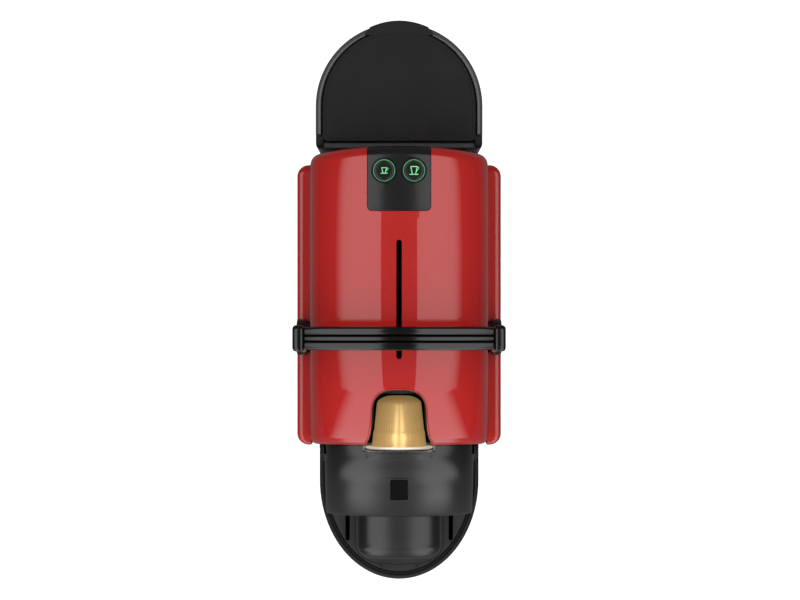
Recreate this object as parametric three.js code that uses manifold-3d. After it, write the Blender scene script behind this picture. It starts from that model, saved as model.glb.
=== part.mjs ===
// Slim pod coffee machine, in millimetres. +Z is up, the cup stands at the -Y end and the water
// tank at the +Y end. The origin is on the table under the middle of the machine.
import * as THREE from 'three';
import { mergeVertices } from 'three/addons/utils/BufferGeometryUtils.js';
import Module from 'manifold-3d';

const wasm = await Module();
wasm.setup();

// ---------------------------------------------------------------- driving dimensions

const GAP = 0.3;
const WALL = 2;

// Crown shell: an arch section that slides down a crown line towards the front.
const BODY = {
  front: -74, rear: 88.1, halfWidth: 48.2, rise: 26, power: 2.4, skirt: 150,
  crown: 229.5, crownAt: 25, frontDrop: 28, rearDrop: 7.5, frontCurve: 3, rearCurve: 2, frontEdge: 5, rearEdge: 6,
};
const HEAD = {
  rear: -74.6, front: -116, halfWidth: 41, rise: 20, bottom: 108.2, top: 190.4, low: 149, bend: 1.8,
};
const NOSE = { rear: -116.4, front: -142, halfWidth: 23.8, bottom: 106, top: 128, rise: 9, corner: 8 };
const PANEL = { inner: 49.5, outer: 56.2, front: -75, rear: 79.8, bottom: 10, top: 171, corner: 6 };
const KEYS = { halfWidth: 16.9, front: 53, low: 205, corner: 2.7, x: 8, y: 74.5, face: 224.7 };
const BUTTON = { cap: 5.35, ringInner: 5.75, ringOuter: 6.5, hole: 6.9, travel: 1.5 };
const SLIT = { width: 3, front: -26.5, rear: 37.3 };

const PIVOT = { y: -15.2, z: 176 };
const LEVER = { reach: 72, bow: 8, barDeep: 13, barWide: 12.6, inner: 50.2, outer: 56.5, hub: 10, axle: 4 };
const CRANK = { radius: 24, rearAngle: 36, pin: 2.6, pinEnd: 20.9, inner: 29, outer: 33 };

const CAPSULE = { z: 170, flange: -76, flangeRadius: 18.5, base: 15, shoulder: 12.2, tip: -47.5 };
const CAGE = { rim: -44, seal: 2, rear: -12, radius: 19.5, earInner: 21, earOuter: 24 };
const FRAME = { inner: 25, outer: 27.4, front: -77.4, rear: -6, bottom: 111, top: 183.5 };

const BAY = {
  wallInner: 43.6, wallOuter: 45.8, bulkhead: -6, shelf: 108, shoulder: 149, front: -73.6, rear: 79.6,
};
const BASE = { bottom: 4, top: 7.4, halfWidth: 47.6, front: -73.6, seat: 18 };
const TRAY = { halfWidth: 46.9, length: 58.5, centre: -101.2, rear: -80.6, bottom: 8, top: 40, tongue: 42.6 };
const SUPPORT = { inset: 4.3, top: 39.6, bottom: 35.9, hingeY: -91.6, hingeZ: 37.2, barrel: 2.2 };
const BIN = { halfWidth: 42.6, front: -87.5, rear: -9, bottom: 34.3, top: 103.5, face: 45.4 };

const TANK = { radius: 46.2, centre: 112.4, front: 89, bottom: 18.4, top: 163.1, rim: 3.4, valveY: 104 };
const LID = { bottom: 160.2, top: 165.5, inset: 3.8, lip: 17, reach: 159.7, lipBow: 4 };
const FOOT = { radius: 7, height: 3.7 };
const PUMP = { x: -14, z: 34, radius: 9 };

// ---------------------------------------------------------------- joining and cutting

/** Turns a closed three.js geometry into a solid that can be joined and cut. */
function solid(geometry) {
  const bare = geometry.clone();
  bare.deleteAttribute('normal');
  bare.deleteAttribute('uv');
  const merged = mergeVertices(bare, 1e-4);
  const index = merged.index.array;
  const kept = [];
  for (let i = 0; i < index.length; i += 3) {
    const [a, b, c] = [index[i], index[i + 1], index[i + 2]];
    if (a !== b && b !== c && c !== a) kept.push(a, b, c);
  }
  return new wasm.Manifold(new wasm.Mesh({
    numProp: 3,
    vertProperties: new Float32Array(merged.attributes.position.array),
    triVerts: new Uint32Array(kept),
  }));
}

/** Turns a solid back into a three.js geometry. */
function geometryOf(shape) {
  const mesh = shape.getMesh();
  const geometry = new THREE.BufferGeometry();
  geometry.setAttribute('position', new THREE.BufferAttribute(new Float32Array(mesh.vertProperties), 3));
  geometry.setIndex(new THREE.BufferAttribute(new Uint32Array(mesh.triVerts), 1));
  geometry.computeVertexNormals();
  return geometry;
}

const join = (...shapes) => shapes.reduce((sum, next) => sum.add(next));
const cut = (shape, ...tools) => tools.reduce((rest, tool) => rest.subtract(tool), shape);
const common = (...shapes) => shapes.reduce((sum, next) => sum.intersect(next));

// ---------------------------------------------------------------- outlines

/** Straight-sided outline through [u, v] points. A third number rounds that corner. */
function outline(points) {
  const shape = new THREE.Shape();
  points.forEach(([u, v, radius = 0], i) => {
    const before = points[(i + points.length - 1) % points.length];
    const after = points[(i + 1) % points.length];
    const corner = new THREE.Vector2(u, v);
    const start = corner.clone().add(new THREE.Vector2(before[0] - u, before[1] - v).setLength(radius));
    const end = corner.clone().add(new THREE.Vector2(after[0] - u, after[1] - v).setLength(radius));
    if (i === 0) shape.moveTo(start.x, start.y);
    else shape.lineTo(start.x, start.y);
    if (radius > 0) shape.quadraticCurveTo(u, v, end.x, end.y);
  });
  shape.closePath();
  return shape;
}

const rectangle = (u0, u1, v0, v1, radius = 0) => outline([
  [u0, v0, radius], [u1, v0, radius], [u1, v1, radius], [u0, v1, radius],
]);

/** Arch with upright sides: a superellipse crown over a rectangle, as [x, z]. */
function arch(halfWidth, crown, rise, bottom, steps = 8) {
  const points = [[-halfWidth, bottom], [halfWidth, bottom]];
  for (let i = 0; i <= 2 * steps; i += 1) {
    const angle = Math.PI * i / (2 * steps);
    const across = Math.cos(angle);
    const x = halfWidth * Math.sign(across) * Math.abs(across) ** (2 / BODY.power);
    const z = crown - rise + rise * Math.sin(angle) ** (2 / BODY.power);
    points.push([x, z]);
  }
  return outline(points);
}

/** Tank plan: straight front, round back, with every side moved in by inset. */
function tankPlan(inset) {
  const radius = TANK.radius - inset;
  const front = TANK.front + inset;
  const corner = 3;
  const shape = new THREE.Shape();
  shape.moveTo(-radius + corner, front);
  shape.lineTo(radius - corner, front);
  shape.quadraticCurveTo(radius, front, radius, front + corner);
  shape.lineTo(radius, TANK.centre);
  shape.absarc(0, TANK.centre, radius, 0, Math.PI, false);
  shape.lineTo(-radius, front + corner);
  shape.quadraticCurveTo(-radius, front, -radius + corner, front);
  return shape;
}

/** Cup tray plan: straight sides behind a half ellipse, with every side moved in by inset. */
function trayPlan(inset, rear) {
  const a = TRAY.halfWidth - inset;
  const b = TRAY.length - inset;
  const shape = new THREE.Shape();
  shape.moveTo(a, rear);
  shape.lineTo(-a, rear);
  shape.lineTo(-a, TRAY.centre);
  shape.absellipse(0, TRAY.centre, a, b, Math.PI, 2 * Math.PI, false, 0);
  shape.lineTo(a, rear);
  return shape;
}

/** Plan of the crown shell: square front, rear edge swept back to rounded corners. */
function bodyPlan(inset) {
  const half = BODY.halfWidth - inset;
  const rear = BODY.rear - inset;
  const shape = new THREE.Shape();
  shape.moveTo(-half + 3, BODY.front + inset);
  shape.lineTo(half - 3, BODY.front + inset);
  shape.quadraticCurveTo(half, BODY.front + inset, half, BODY.front + inset + 3);
  shape.lineTo(half, rear - 9.5);
  shape.quadraticCurveTo(half - 0.4, rear - 4.2, half - 6, rear - 3.3);
  shape.quadraticCurveTo(half / 2, rear, 0, rear);
  shape.quadraticCurveTo(-half / 2, rear, -half + 6, rear - 3.3);
  shape.quadraticCurveTo(-half + 0.4, rear - 4.2, -half, rear - 9.5);
  shape.lineTo(-half, BODY.front + inset + 3);
  shape.quadraticCurveTo(-half, BODY.front + inset, -half + 3, BODY.front + inset);
  return shape;
}

// ---------------------------------------------------------------- solids from outlines

const X = new THREE.Vector3(1, 0, 0);
const Y = new THREE.Vector3(0, 1, 0);
const Z = new THREE.Vector3(0, 0, 1);
const TURNS = {
  x: new THREE.Matrix4().makeBasis(Y, Z, X),
  y: new THREE.Matrix4().makeBasis(X, Z, Y.clone().negate()),
  z: new THREE.Matrix4(),
};

/** Prism of an outline: [y, z] along x, [x, z] along y, or [x, y] along z. */
function prism(shape, axis, from, to, curveSegments = 6) {
  const depth = to - from;
  const geometry = new THREE.ExtrudeGeometry(shape, { depth, bevelEnabled: false, curveSegments });
  geometry.applyMatrix4(TURNS[axis]);
  if (axis === 'x') geometry.translate(from, 0, 0);
  if (axis === 'y') geometry.translate(0, to, 0);
  if (axis === 'z') geometry.translate(0, 0, from);
  return solid(geometry);
}

/** Block between two corners. */
function block(x0, x1, y0, y1, z0, z1) {
  const geometry = new THREE.BoxGeometry(x1 - x0, y1 - y0, z1 - z0);
  geometry.translate((x0 + x1) / 2, (y0 + y1) / 2, (z0 + z1) / 2);
  return solid(geometry);
}

/** Turned piece: a [radius, height] profile spun about an axis through a centre. */
function turned(profile, axis, centre, segments = 16) {
  const points = profile.map(([radius, height]) => new THREE.Vector2(radius, height));
  const geometry = new THREE.LatheGeometry(points, segments);
  if (axis === 'x') geometry.rotateZ(-Math.PI / 2);
  if (axis === 'z') geometry.rotateX(Math.PI / 2);
  geometry.translate(...centre);
  return solid(geometry);
}

/** Round bar between two heights on an axis, or a ring when it has a bore. */
function round(radius, axis, from, to, centre, bore = 0, segments = 16) {
  const profile = bore > 0
    ? [[bore, from], [radius, from], [radius, to], [bore, to], [bore, from]]
    : [[0, from], [radius, from], [radius, to], [0, to]];
  return turned(profile, axis, centre, segments);
}

/** Hose along a smooth curve through points. */
function hose(points, radius, steps = 12) {
  const path = new THREE.CatmullRomCurve3(points.map((point) => new THREE.Vector3(...point)));
  const section = new THREE.Shape();
  section.absarc(0, 0, radius, 0, 2 * Math.PI, false);
  return new THREE.ExtrudeGeometry(section, {
    steps, extrudePath: path, bevelEnabled: false, curveSegments: 4,
  });
}

/** Bar along x whose section [y, z] sinks towards both ends, as an arched handle does. */
function bowed(section, halfLength) {
  const geometry = new THREE.ExtrudeGeometry(section, {
    depth: 2 * halfLength, steps: 12, bevelEnabled: false, curveSegments: 4,
  });
  geometry.applyMatrix4(TURNS.x);
  geometry.translate(-halfLength, 0, 0);
  const position = geometry.attributes.position;
  for (let i = 0; i < position.count; i += 1) {
    position.setZ(i, position.getZ(i) - LEVER.bow * (position.getX(i) / LEVER.inner) ** 2);
  }
  return solid(geometry);
}

/** Mirror image of a solid in the plane x = 0. */
const mirrored = (shape) => shape.mirror([1, 0, 0]);

// ---------------------------------------------------------------- finishes and assembly

const finish = (color, roughness, metalness = 0, extra = {}) => (
  new THREE.MeshStandardMaterial({ color, roughness, metalness, ...extra })
);
const FINISH = {
  red: () => finish(0xb02823, 0.3),
  black: () => finish(0x2a2a2b, 0.45),
  satin: () => finish(0x3a3a3b, 0.35),
  rubber: () => finish(0x1c1c1c, 0.85),
  smoked: () => finish(0x3c3d40, 0.15),
  gold: () => finish(0xdeb068, 0.3, 1),
  silver: () => finish(0xe6e2da, 0.35, 1),
  steel: () => finish(0xb8babd, 0.35, 1),
  cast: () => finish(0x9da0a3, 0.5, 1),
  white: () => finish(0xd9d9d4, 0.6),
  board: () => finish(0x1f5a38, 0.6),
  glow: () => finish(0x46c373, 0.4, 0, { emissive: 0x2fae5f }),
  copper: () => finish(0xa8683a, 0.4, 1),
  silicone: () => finish(0xcfcfca, 0.7),
};

const machine = new THREE.Group();

/** Adds one named piece to the machine. */
function add(name, shape, material) {
  const geometry = shape.isBufferGeometry ? shape : geometryOf(shape);
  const mesh = new THREE.Mesh(geometry, material);
  mesh.name = name;
  machine.add(mesh);
}

// ---------------------------------------------------------------- crown shell and its neighbours

/** Height of the crown line over the centre of the machine. */
function crownAt(y) {
  const front = y < BODY.crownAt;
  const span = front ? BODY.front - BODY.crownAt : BODY.rear - BODY.crownAt;
  const drop = front ? BODY.frontDrop : BODY.rearDrop;
  const curve = front ? BODY.frontCurve : BODY.rearCurve;
  return BODY.crown - drop * ((y - BODY.crownAt) / span) ** curve;
}

/** Stretches an arch along y through stations of [y, crown height]. Its flat bottom stays level. */
function loft(halfWidth, rise, bottom, stations) {
  const top = stations[0][1];
  const steps = stations.length - 1;
  const geometry = new THREE.ExtrudeGeometry(arch(halfWidth, top, rise, bottom), {
    depth: steps, steps, bevelEnabled: false,
  });
  const position = geometry.attributes.position;
  for (let i = 0; i < position.count; i += 1) {
    const [y, crown] = stations[steps - Math.round(position.getZ(i))];
    const z = position.getY(i);
    const lifted = z > bottom + 0.01 ? z + crown - top : z;
    position.setXYZ(i, position.getX(i), y, lifted);
  }
  return solid(geometry);
}

/** Solid inside the crown shell's outer skin, moved in by inset and cut off at bottom. */
function crownBody(inset, bottom) {
  const stations = [];
  const edgeRound = (radius, k) => {
    const angle = k * Math.PI / 8;
    return [radius * (1 - Math.cos(angle)), radius * (1 - Math.sin(angle))];
  };
  for (let k = 0; k < 4; k += 1) {
    const [along, down] = edgeRound(BODY.frontEdge, k);
    stations.push([BODY.front + inset + along, crownAt(BODY.front + along) - down - inset]);
  }
  const first = BODY.front + BODY.frontEdge;
  const last = BODY.rear - BODY.rearEdge;
  const spans = 8;
  for (let i = 0; i <= spans; i += 1) {
    const y = first + (last - first) * i / spans;
    const shift = inset * (1 - 2 * i / spans);
    stations.push([y + shift, crownAt(y) - inset]);
  }
  for (let k = 3; k >= 0; k -= 1) {
    const [along, down] = edgeRound(BODY.rearEdge, k);
    stations.push([BODY.rear - inset - along, crownAt(BODY.rear - along) - down - inset]);
  }
  return common(
    loft(BODY.halfWidth - inset, BODY.rise - inset / 2, bottom, stations),
    prism(bodyPlan(inset), 'z', bottom - 1, BODY.crown + 1, 4),
  );
}

const MOUTH_REVEAL = 0.9;

/** Plan of the arched mouth that a capsule is dropped through. */
function mouthPlan(grow) {
  const shape = new THREE.Shape();
  const wide = 17 + grow;
  const narrow = 14.1 + grow;
  const shoulder = 13.9 + grow;
  const back = -43.8 + grow;
  shape.moveTo(-wide, BODY.front - 4);
  shape.lineTo(wide, BODY.front - 4);
  shape.lineTo(wide, BODY.front + 1);
  shape.quadraticCurveTo(narrow + 0.8, -69, narrow, -62);
  shape.lineTo(shoulder, -54.4);
  shape.quadraticCurveTo(shoulder - 0.4, back - 0.3, 2.5, back);
  shape.lineTo(-2.5, back);
  shape.quadraticCurveTo(0.4 - shoulder, back - 0.3, -shoulder, -54.4);
  shape.lineTo(-narrow, -62);
  shape.quadraticCurveTo(-narrow - 0.8, -69, -wide, BODY.front + 1);
  return shape;
}

const skinSolid = crownBody(0, BODY.skirt);
const skinCore = crownBody(WALL, BODY.skirt - 2);

function makeTopShell() {
  const frontCrown = crownAt(BODY.front) - BODY.frontEdge;
  const doorway = prism(arch(43, frontCrown - 5, BODY.rise - 6, BODY.skirt - 2), 'y', -76, -71);
  const mouth = prism(mouthPlan(MOUTH_REVEAL), 'z', 180, BODY.crown);
  const keysHole = prism(
    rectangle(-KEYS.halfWidth - GAP, KEYS.halfWidth + GAP, KEYS.front - GAP, BODY.rear + 8, KEYS.corner),
    'z', KEYS.low - GAP, BODY.crown + 1, 3,
  );
  const slit = prism(
    rectangle(-SLIT.width / 2, SLIT.width / 2, SLIT.front, SLIT.rear, SLIT.width / 2),
    'z', BODY.crown - 20, BODY.crown + 1, 3,
  );
  const axleHole = round(LEVER.axle + 1, 'x', -60, 60, [0, PIVOT.y, PIVOT.z]);
  add('top_shell', cut(skinSolid, skinCore, doorway, mouth, keysHole, slit, axleHole), FINISH.red());
}

function makeSidePanels() {
  const side = outline([
    [PANEL.front, PANEL.bottom, 6], [PANEL.rear, PANEL.bottom, 6],
    [PANEL.rear, PANEL.top - 2, 8], [20, PANEL.top], [-30, PANEL.top], [PANEL.front, PANEL.top - 3, 8],
  ]);
  const plan = outline([
    [PANEL.inner, PANEL.front], [PANEL.outer, PANEL.front, PANEL.corner],
    [PANEL.outer, PANEL.rear, PANEL.corner], [PANEL.inner, PANEL.rear],
  ]);
  const slab = common(
    prism(side, 'x', PANEL.inner, PANEL.outer, 5),
    prism(plan, 'z', PANEL.bottom - 1, PANEL.top + 1, 5),
  );
  const rim = 4;
  const pocket = block(
    PANEL.inner - 1, PANEL.outer - WALL,
    PANEL.front + rim + 3, PANEL.rear - rim - 3, PANEL.bottom + rim, PIVOT.z - LEVER.hub - 4,
  );
  const hubSeat = join(
    round(LEVER.hub + 0.6, 'x', 40, 60, [0, PIVOT.y, PIVOT.z], 0, 24),
    block(40, 60, PIVOT.y - LEVER.hub - 0.6, PIVOT.y + LEVER.hub + 0.6, PIVOT.z, PIVOT.z + 20),
  );
  const right = cut(slab, pocket, hubSeat);
  add('side_panel_right', right, FINISH.red());
  add('side_panel_left', mirrored(right), FINISH.red());
}

function makeControlPanel() {
  const plan = rectangle(-KEYS.halfWidth, KEYS.halfWidth, KEYS.front, BODY.rear + 8, KEYS.corner);
  const plate = cut(common(skinSolid, prism(plan, 'z', KEYS.low, BODY.crown + 1, 3)), skinCore);
  const holes = [-1, 1].map((side) => round(BUTTON.hole, 'z', 200, 240, [side * KEYS.x, KEYS.y, 0], 0, 24));
  add('control_panel', cut(plate, ...holes), FINISH.satin());
  for (const [side, name] of [[-1, 'small_cup'], [1, 'large_cup']]) {
    const centre = [side * KEYS.x, KEYS.y, KEYS.face];
    const ring = turned([
      [BUTTON.ringInner, -6.2], [7.3, -6.2], [7.3, -5], [BUTTON.ringOuter, -5],
      [BUTTON.ringOuter, -0.6], [BUTTON.ringInner, -0.6], [BUTTON.ringInner, -6.2],
    ], 'z', centre, 24);
    const cap = turned([
      [0, -5.6], [BUTTON.cap, -5.6], [BUTTON.cap, -0.4], [BUTTON.cap - 0.5, 0], [0, 0.3],
    ], 'z', centre, 24);
    add(`light_ring_${name}`, ring, FINISH.glow());
    add(`button_${name}`, cap, FINISH.black());
  }
  const switchTop = KEYS.face - 5.6 - BUTTON.travel - GAP;
  const keyBoard = join(
    block(-15, 15, 58, 82, 213, 214.6),
    ...[-1, 1].map((side) => (
      block(side * KEYS.x - 3, side * KEYS.x + 3, KEYS.y - 3, KEYS.y + 3, 214, switchTop)
    )),
  );
  add('key_board', keyBoard, FINISH.board());
}

// ---------------------------------------------------------------- lever and its cranks

function makeLever() {
  const barZ = PIVOT.z + LEVER.reach;
  const low = barZ - LEVER.barDeep / 2 - LEVER.bow;
  const high = barZ + LEVER.barDeep / 2 - LEVER.bow;
  const arm = outline([
    [PIVOT.y - 5.5, PIVOT.z], [PIVOT.y + 5.5, PIVOT.z], [PIVOT.y + 5.5, low - 10], [PIVOT.y + 7, low, 2],
    [PIVOT.y + 7, high + 0.4, 4], [PIVOT.y - 7, high + 0.4, 4],
    [PIVOT.y - 7, low, 2], [PIVOT.y - 5.5, low - 10],
  ]);
  const hub = round(LEVER.hub, 'x', LEVER.inner, LEVER.outer - 0.3, [0, PIVOT.y, PIVOT.z], 0, 24);
  const rightSide = join(prism(arm, 'x', LEVER.inner, LEVER.outer, 3), hub);
  const core = 3.5;
  const square = (half) => rectangle(PIVOT.y - half, PIVOT.y + half, barZ - half, barZ + half);
  const bar = bowed(square(core), LEVER.inner + 1);
  add('lever', join(rightSide, mirrored(rightSide), bar), FINISH.black());

  const half = LEVER.barWide / 2;
  const sleeve = rectangle(
    PIVOT.y - half, PIVOT.y + half, low + LEVER.bow, high + LEVER.bow, 3,
  );
  const grip = cut(bowed(sleeve, LEVER.inner - GAP), bowed(square(core + GAP), LEVER.inner + 8));
  add('lever_grip', grip, FINISH.black());
}

/** Pin position on the crank while the lever stands open. */
function crankPin() {
  const angle = THREE.MathUtils.degToRad(CRANK.rearAngle);
  return { y: PIVOT.y + CRANK.radius * Math.sin(angle), z: PIVOT.z + CRANK.radius * Math.cos(angle) };
}

function makeAxles() {
  const pin = crankPin();
  const centre = [0, PIVOT.y, PIVOT.z];
  const along = new THREE.Vector2(pin.y - PIVOT.y, pin.z - PIVOT.z).normalize();
  const side = new THREE.Vector2(-along.y, along.x).multiplyScalar(4.2);
  const web = outline([
    [PIVOT.y + side.x, PIVOT.z + side.y], [PIVOT.y - side.x, PIVOT.z - side.y],
    [pin.y - side.x, pin.z - side.y], [pin.y + side.x, pin.z + side.y],
  ]);
  const right = join(
    round(LEVER.axle, 'x', CRANK.inner + 1, LEVER.inner - GAP, centre),
    round(6.5, 'x', CRANK.inner, CRANK.outer, centre),
    prism(web, 'x', CRANK.inner, CRANK.outer),
    round(4.2, 'x', CRANK.inner, CRANK.outer, [0, pin.y, pin.z]),
    round(CRANK.pin, 'x', CRANK.pinEnd, CRANK.inner + 1, [0, pin.y, pin.z], 0, 16),
  );
  add('lever_axle_right', right, FINISH.steel());
  add('lever_axle_left', mirrored(right), FINISH.steel());

  const bore = LEVER.axle + 0.35;
  const bush = turned([
    [bore, 42.4], [8.5, 42.4], [8.5, 43.3], [6.4, 43.3],
    [6.4, BAY.wallOuter], [bore, BAY.wallOuter], [bore, 42.4],
  ], 'x', centre);
  add('axle_bush_right', bush, FINISH.white());
  add('axle_bush_left', mirrored(bush), FINISH.white());
}

// ---------------------------------------------------------------- brew unit

function makeBrewUnit() {
  const centre = [0, 0, CAPSULE.z];
  const pin = crankPin();
  const cavity = turned([
    [0, -60], [17, -60], [16, CAGE.rim - 0.5], [15.7, CAGE.rim], [13.1, -22], [12.6, -15.4], [0, -15.4],
  ], 'y', centre, 28);
  const barrel = round(CAGE.radius, 'y', CAGE.rim, CAGE.rear, centre, 0, 28);
  const ear = outline([
    [-26, 164], [-12.2, 164], [4.6, 186], [4.6, 207, 3], [-8.2, 207, 3], [-8.2, 190], [-26, 176],
  ]);
  const slotHalf = CRANK.pin + 0.7;
  const slot = rectangle(
    pin.y - slotHalf, pin.y + slotHalf, pin.z - CRANK.pin - 0.6, PIVOT.z + CRANK.radius + 3.3, 3.2,
  );
  const ears = [1, -1].map((side) => {
    const plate = cut(prism(ear, 'x', CAGE.earInner, CAGE.earOuter, 4), prism(slot, 'x', 10, 30, 5));
    return side > 0 ? plate : mirrored(plate);
  });
  const yoke = block(-CAGE.earOuter, CAGE.earOuter, -26, -12.2, 164, 176);
  const inlet = round(3, 'y', -13, -6, centre, 0, 12);
  add('brew_cage', cut(join(barrel, yoke, inlet, ...ears), cavity), FINISH.satin());

  const sealFront = CAGE.rim - CAGE.seal;
  add('cage_seal', round(19.2, 'y', sealFront, CAGE.rim - GAP, centre, 16.4, 28), FINISH.rubber());

  const blades = [90, 210, 330].map((degrees) => {
    const angle = THREE.MathUtils.degToRad(degrees);
    const place = [6 * Math.cos(angle), 0, CAPSULE.z + 6 * Math.sin(angle)];
    return turned([[0, -18.4], [1.4, -16.6], [1.4, -16], [0, -16]], 'y', place, 6);
  });
  add('piercing_plate', join(round(11.5, 'y', -17, -15.7, centre), ...blades), FINISH.steel());

  const portal = cut(
    block(-FRAME.outer, FRAME.outer, FRAME.front, -74.7, 140, FRAME.top),
    block(-18.9, 18.9, -80, -70, CAPSULE.z - CAPSULE.flangeRadius - GAP, FRAME.top + 1),
  );
  const plates = [1, -1].map((side) => {
    const plate = block(FRAME.inner, FRAME.outer, FRAME.front, FRAME.rear, FRAME.bottom, FRAME.top);
    const window = block(20, 30, -66, -14, 118, 140);
    const trimmed = cut(plate, window);
    return side > 0 ? trimmed : mirrored(trimmed);
  });
  const floor = block(-26, 26, -26, FRAME.rear, 144, 146.5);
  add('brew_frame', join(portal, floor, ...plates), FINISH.white());

  const grid = cut(
    prism(rectangle(-19.4, 19.4, 152, FRAME.top, 3), 'y', -81.4, -77.7, 3),
    ...[-12, -6, 0, 6, 12].map((x) => round(1, 'y', -90, -70, [x, 0, 158], 0, 8)),
  );
  add('extraction_plate', grid, FINISH.steel());

  const spoutPath = [[0, -85, 156], [0, -93, 138], [0, -108, 121], [0, -123, 117]];
  const spout = (radius) => solid(hose(spoutPath, radius, 8));
  const collector = cut(
    join(block(-15, 15, -86, -81.8, 150, 178), spout(4.8)),
    block(-12, 12, -84.5, -80, 154, 175),
    block(-20, 20, -81.8, -70, 140, 180),
    spout(3),
  );
  add('coffee_collector', collector, FINISH.black());
}

function makeSlotLiner() {
  const liner = cut(
    common(crownBody(WALL + GAP, BODY.skirt), prism(mouthPlan(1.8), 'z', 191.5, BODY.crown)),
    prism(mouthPlan(0.2), 'z', 180, BODY.crown + 1),
  );
  add('slot_liner', liner, FINISH.black());
}

function makeCapsule() {
  const centre = [0, 0, CAPSULE.z];
  const { flange, flangeRadius, base, shoulder, tip } = CAPSULE;
  const thick = 0.8;
  const cup = [
    [base - thick, flange - 0.6], [flangeRadius, flange - 0.6],
    [flangeRadius, flange + 0.5], [base, flange + 0.5],
    [shoulder, tip - 4.4], [shoulder - 0.6, tip - 3.2], [8.4, tip - 0.5], [5, tip], [0, tip],
    [0, tip - thick], [4.8, tip - thick], [7.9, tip - thick - 0.6],
    [shoulder - thick, tip - 4], [base - thick, flange - 0.6],
  ];
  add('capsule_cup', turned(cup, 'y', centre, 28), FINISH.gold());
  add('capsule_foil', round(16.8, 'y', flange - 1.2, flange - 0.9, centre, 0, 28), FINISH.silver());
}

// ---------------------------------------------------------------- brewing head and outlet

/** Solid inside the brewing head's outer skin, moved in by inset, from rear to bottom. */
function headBody(inset, rear, bottom) {
  const stations = [];
  const front = HEAD.front + inset;
  const spans = 7;
  for (let i = 0; i <= spans; i += 1) {
    const along = i / spans;
    const y = front + (HEAD.rear - front) * along;
    const fall = ((HEAD.rear - y) / (HEAD.rear - HEAD.front)) ** HEAD.bend;
    stations.push([y, HEAD.low + (HEAD.top - HEAD.low) * (1 - fall) - inset]);
  }
  if (rear > HEAD.rear) stations.push([rear, HEAD.top - inset]);
  return loft(HEAD.halfWidth - inset, HEAD.rise - inset / 2, bottom, stations);
}

function makeHead() {
  const badgePlan = (grow) => rectangle(-4.6 - grow, 4.6 + grow, -105 - grow, -94 + grow, 0.5);
  const skin = headBody(0, HEAD.rear, HEAD.bottom);
  const seat = common(skin, prism(badgePlan(GAP), 'z', 140, 200, 2));
  const recess = cut(seat, headBody(1.2, HEAD.rear + 2, 100));
  const flangeSlot = block(-19.75, 19.75, -77.8, -70, 172, 200);
  const cover = cut(
    skin,
    headBody(WALL, HEAD.rear + 2, HEAD.bottom + WALL),
    recess,
    flangeSlot,
    block(-18, 18, -120, -112, 111, 125),
  );
  add('head_cover', cover, FINISH.satin());
  const badge = cut(
    common(headBody(0.1, HEAD.rear, 100), prism(badgePlan(0), 'z', 140, 200, 2)),
    headBody(0.9, HEAD.rear + 2, 99),
  );
  add('badge', badge, FINISH.black());
}

function makeOutlet() {
  const nose = (inset) => common(
    prism(arch(NOSE.halfWidth - inset, NOSE.top - inset, NOSE.rise, NOSE.bottom + inset, 8), 'y', -150, -110),
    prism(outline([
      [NOSE.rear + inset, NOSE.bottom + inset], [NOSE.rear + inset, NOSE.top + 1],
      [-124, NOSE.top - 1.5 - inset, 3], [NOSE.front + inset, NOSE.top - 4 - inset, 10],
      [NOSE.front + inset, NOSE.bottom + inset, 2],
    ]), 'x', -40, 40, 5),
    prism(outline([
      [-NOSE.halfWidth + inset, NOSE.rear + inset],
      [-NOSE.halfWidth + inset, NOSE.front + inset, NOSE.corner],
      [NOSE.halfWidth - inset, NOSE.front + inset, NOSE.corner],
      [NOSE.halfWidth - inset, NOSE.rear + inset],
    ]), 'z', 100, 140, 6),
  );
  const outlet = cut(
    nose(0),
    nose(WALL),
    block(-18, 18, -120, -110, 111, 124.4),
    round(4, 'z', 100, 112, [0, -129, 0]),
  );
  add('coffee_outlet', outlet, FINISH.satin());
}

// ---------------------------------------------------------------- drip tray, cup support and bin

function makeTray() {
  const dish = prism(trayPlan(0, TRAY.rear), 'z', TRAY.bottom, TRAY.top, 12);
  const tongue = block(-TRAY.tongue, TRAY.tongue, TRAY.rear - 2, -10, TRAY.bottom, BIN.bottom - GAP);
  const tray = cut(
    join(dish, tongue),
    prism(trayPlan(2.4, SUPPORT.hingeY + 2.4), 'z', TRAY.bottom + 3, 33.5, 12),
    prism(trayPlan(6, SUPPORT.hingeY + 2.4), 'z', 33, 36, 12),
    prism(trayPlan(3.9, SUPPORT.hingeY + 2.4), 'z', 35.5, 45, 12),
    block(-43, 43, SUPPORT.hingeY - 2.6, SUPPORT.hingeY + 2.4, 34.4, 45),
    block(-40.4, 40.4, -79, -12.2, TRAY.bottom + 2.5, 45),
    round(1.2, 'x', -45.6, 45.6, [0, SUPPORT.hingeY, SUPPORT.hingeZ], 0, 12),
  );
  add('drip_tray', tray, FINISH.black());

  const drainSlot = (side) => prism(
    rectangle(side * 30.5 - 1.25, side * 30.5 + 1.25, -137, -112, 1.2), 'z', 30, 45, 3,
  );
  const pinHole = (side) => round(0.9, 'z', 38.4, 45, [side * 10.6, -151.6, 0], 0, 12);
  const barrel = round(SUPPORT.barrel, 'x', -42, 42, [0, SUPPORT.hingeY, SUPPORT.hingeZ], 0, 16);
  const plate = prism(trayPlan(SUPPORT.inset, SUPPORT.hingeY - 0.6), 'z', SUPPORT.bottom, SUPPORT.top, 12);
  const support = cut(
    join(plate, barrel),
    drainSlot(1), drainSlot(-1), pinHole(1), pinHole(-1),
    round(1.2, 'x', -50, 50, [0, SUPPORT.hingeY, SUPPORT.hingeZ], 0, 12),
  );
  add('cup_support', support, FINISH.black());
  const hinge = [0, SUPPORT.hingeY, SUPPORT.hingeZ];
  add('support_hinge_pin', round(0.9, 'x', -45.2, 45.2, hinge, 0, 12), FINISH.steel());
}

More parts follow.
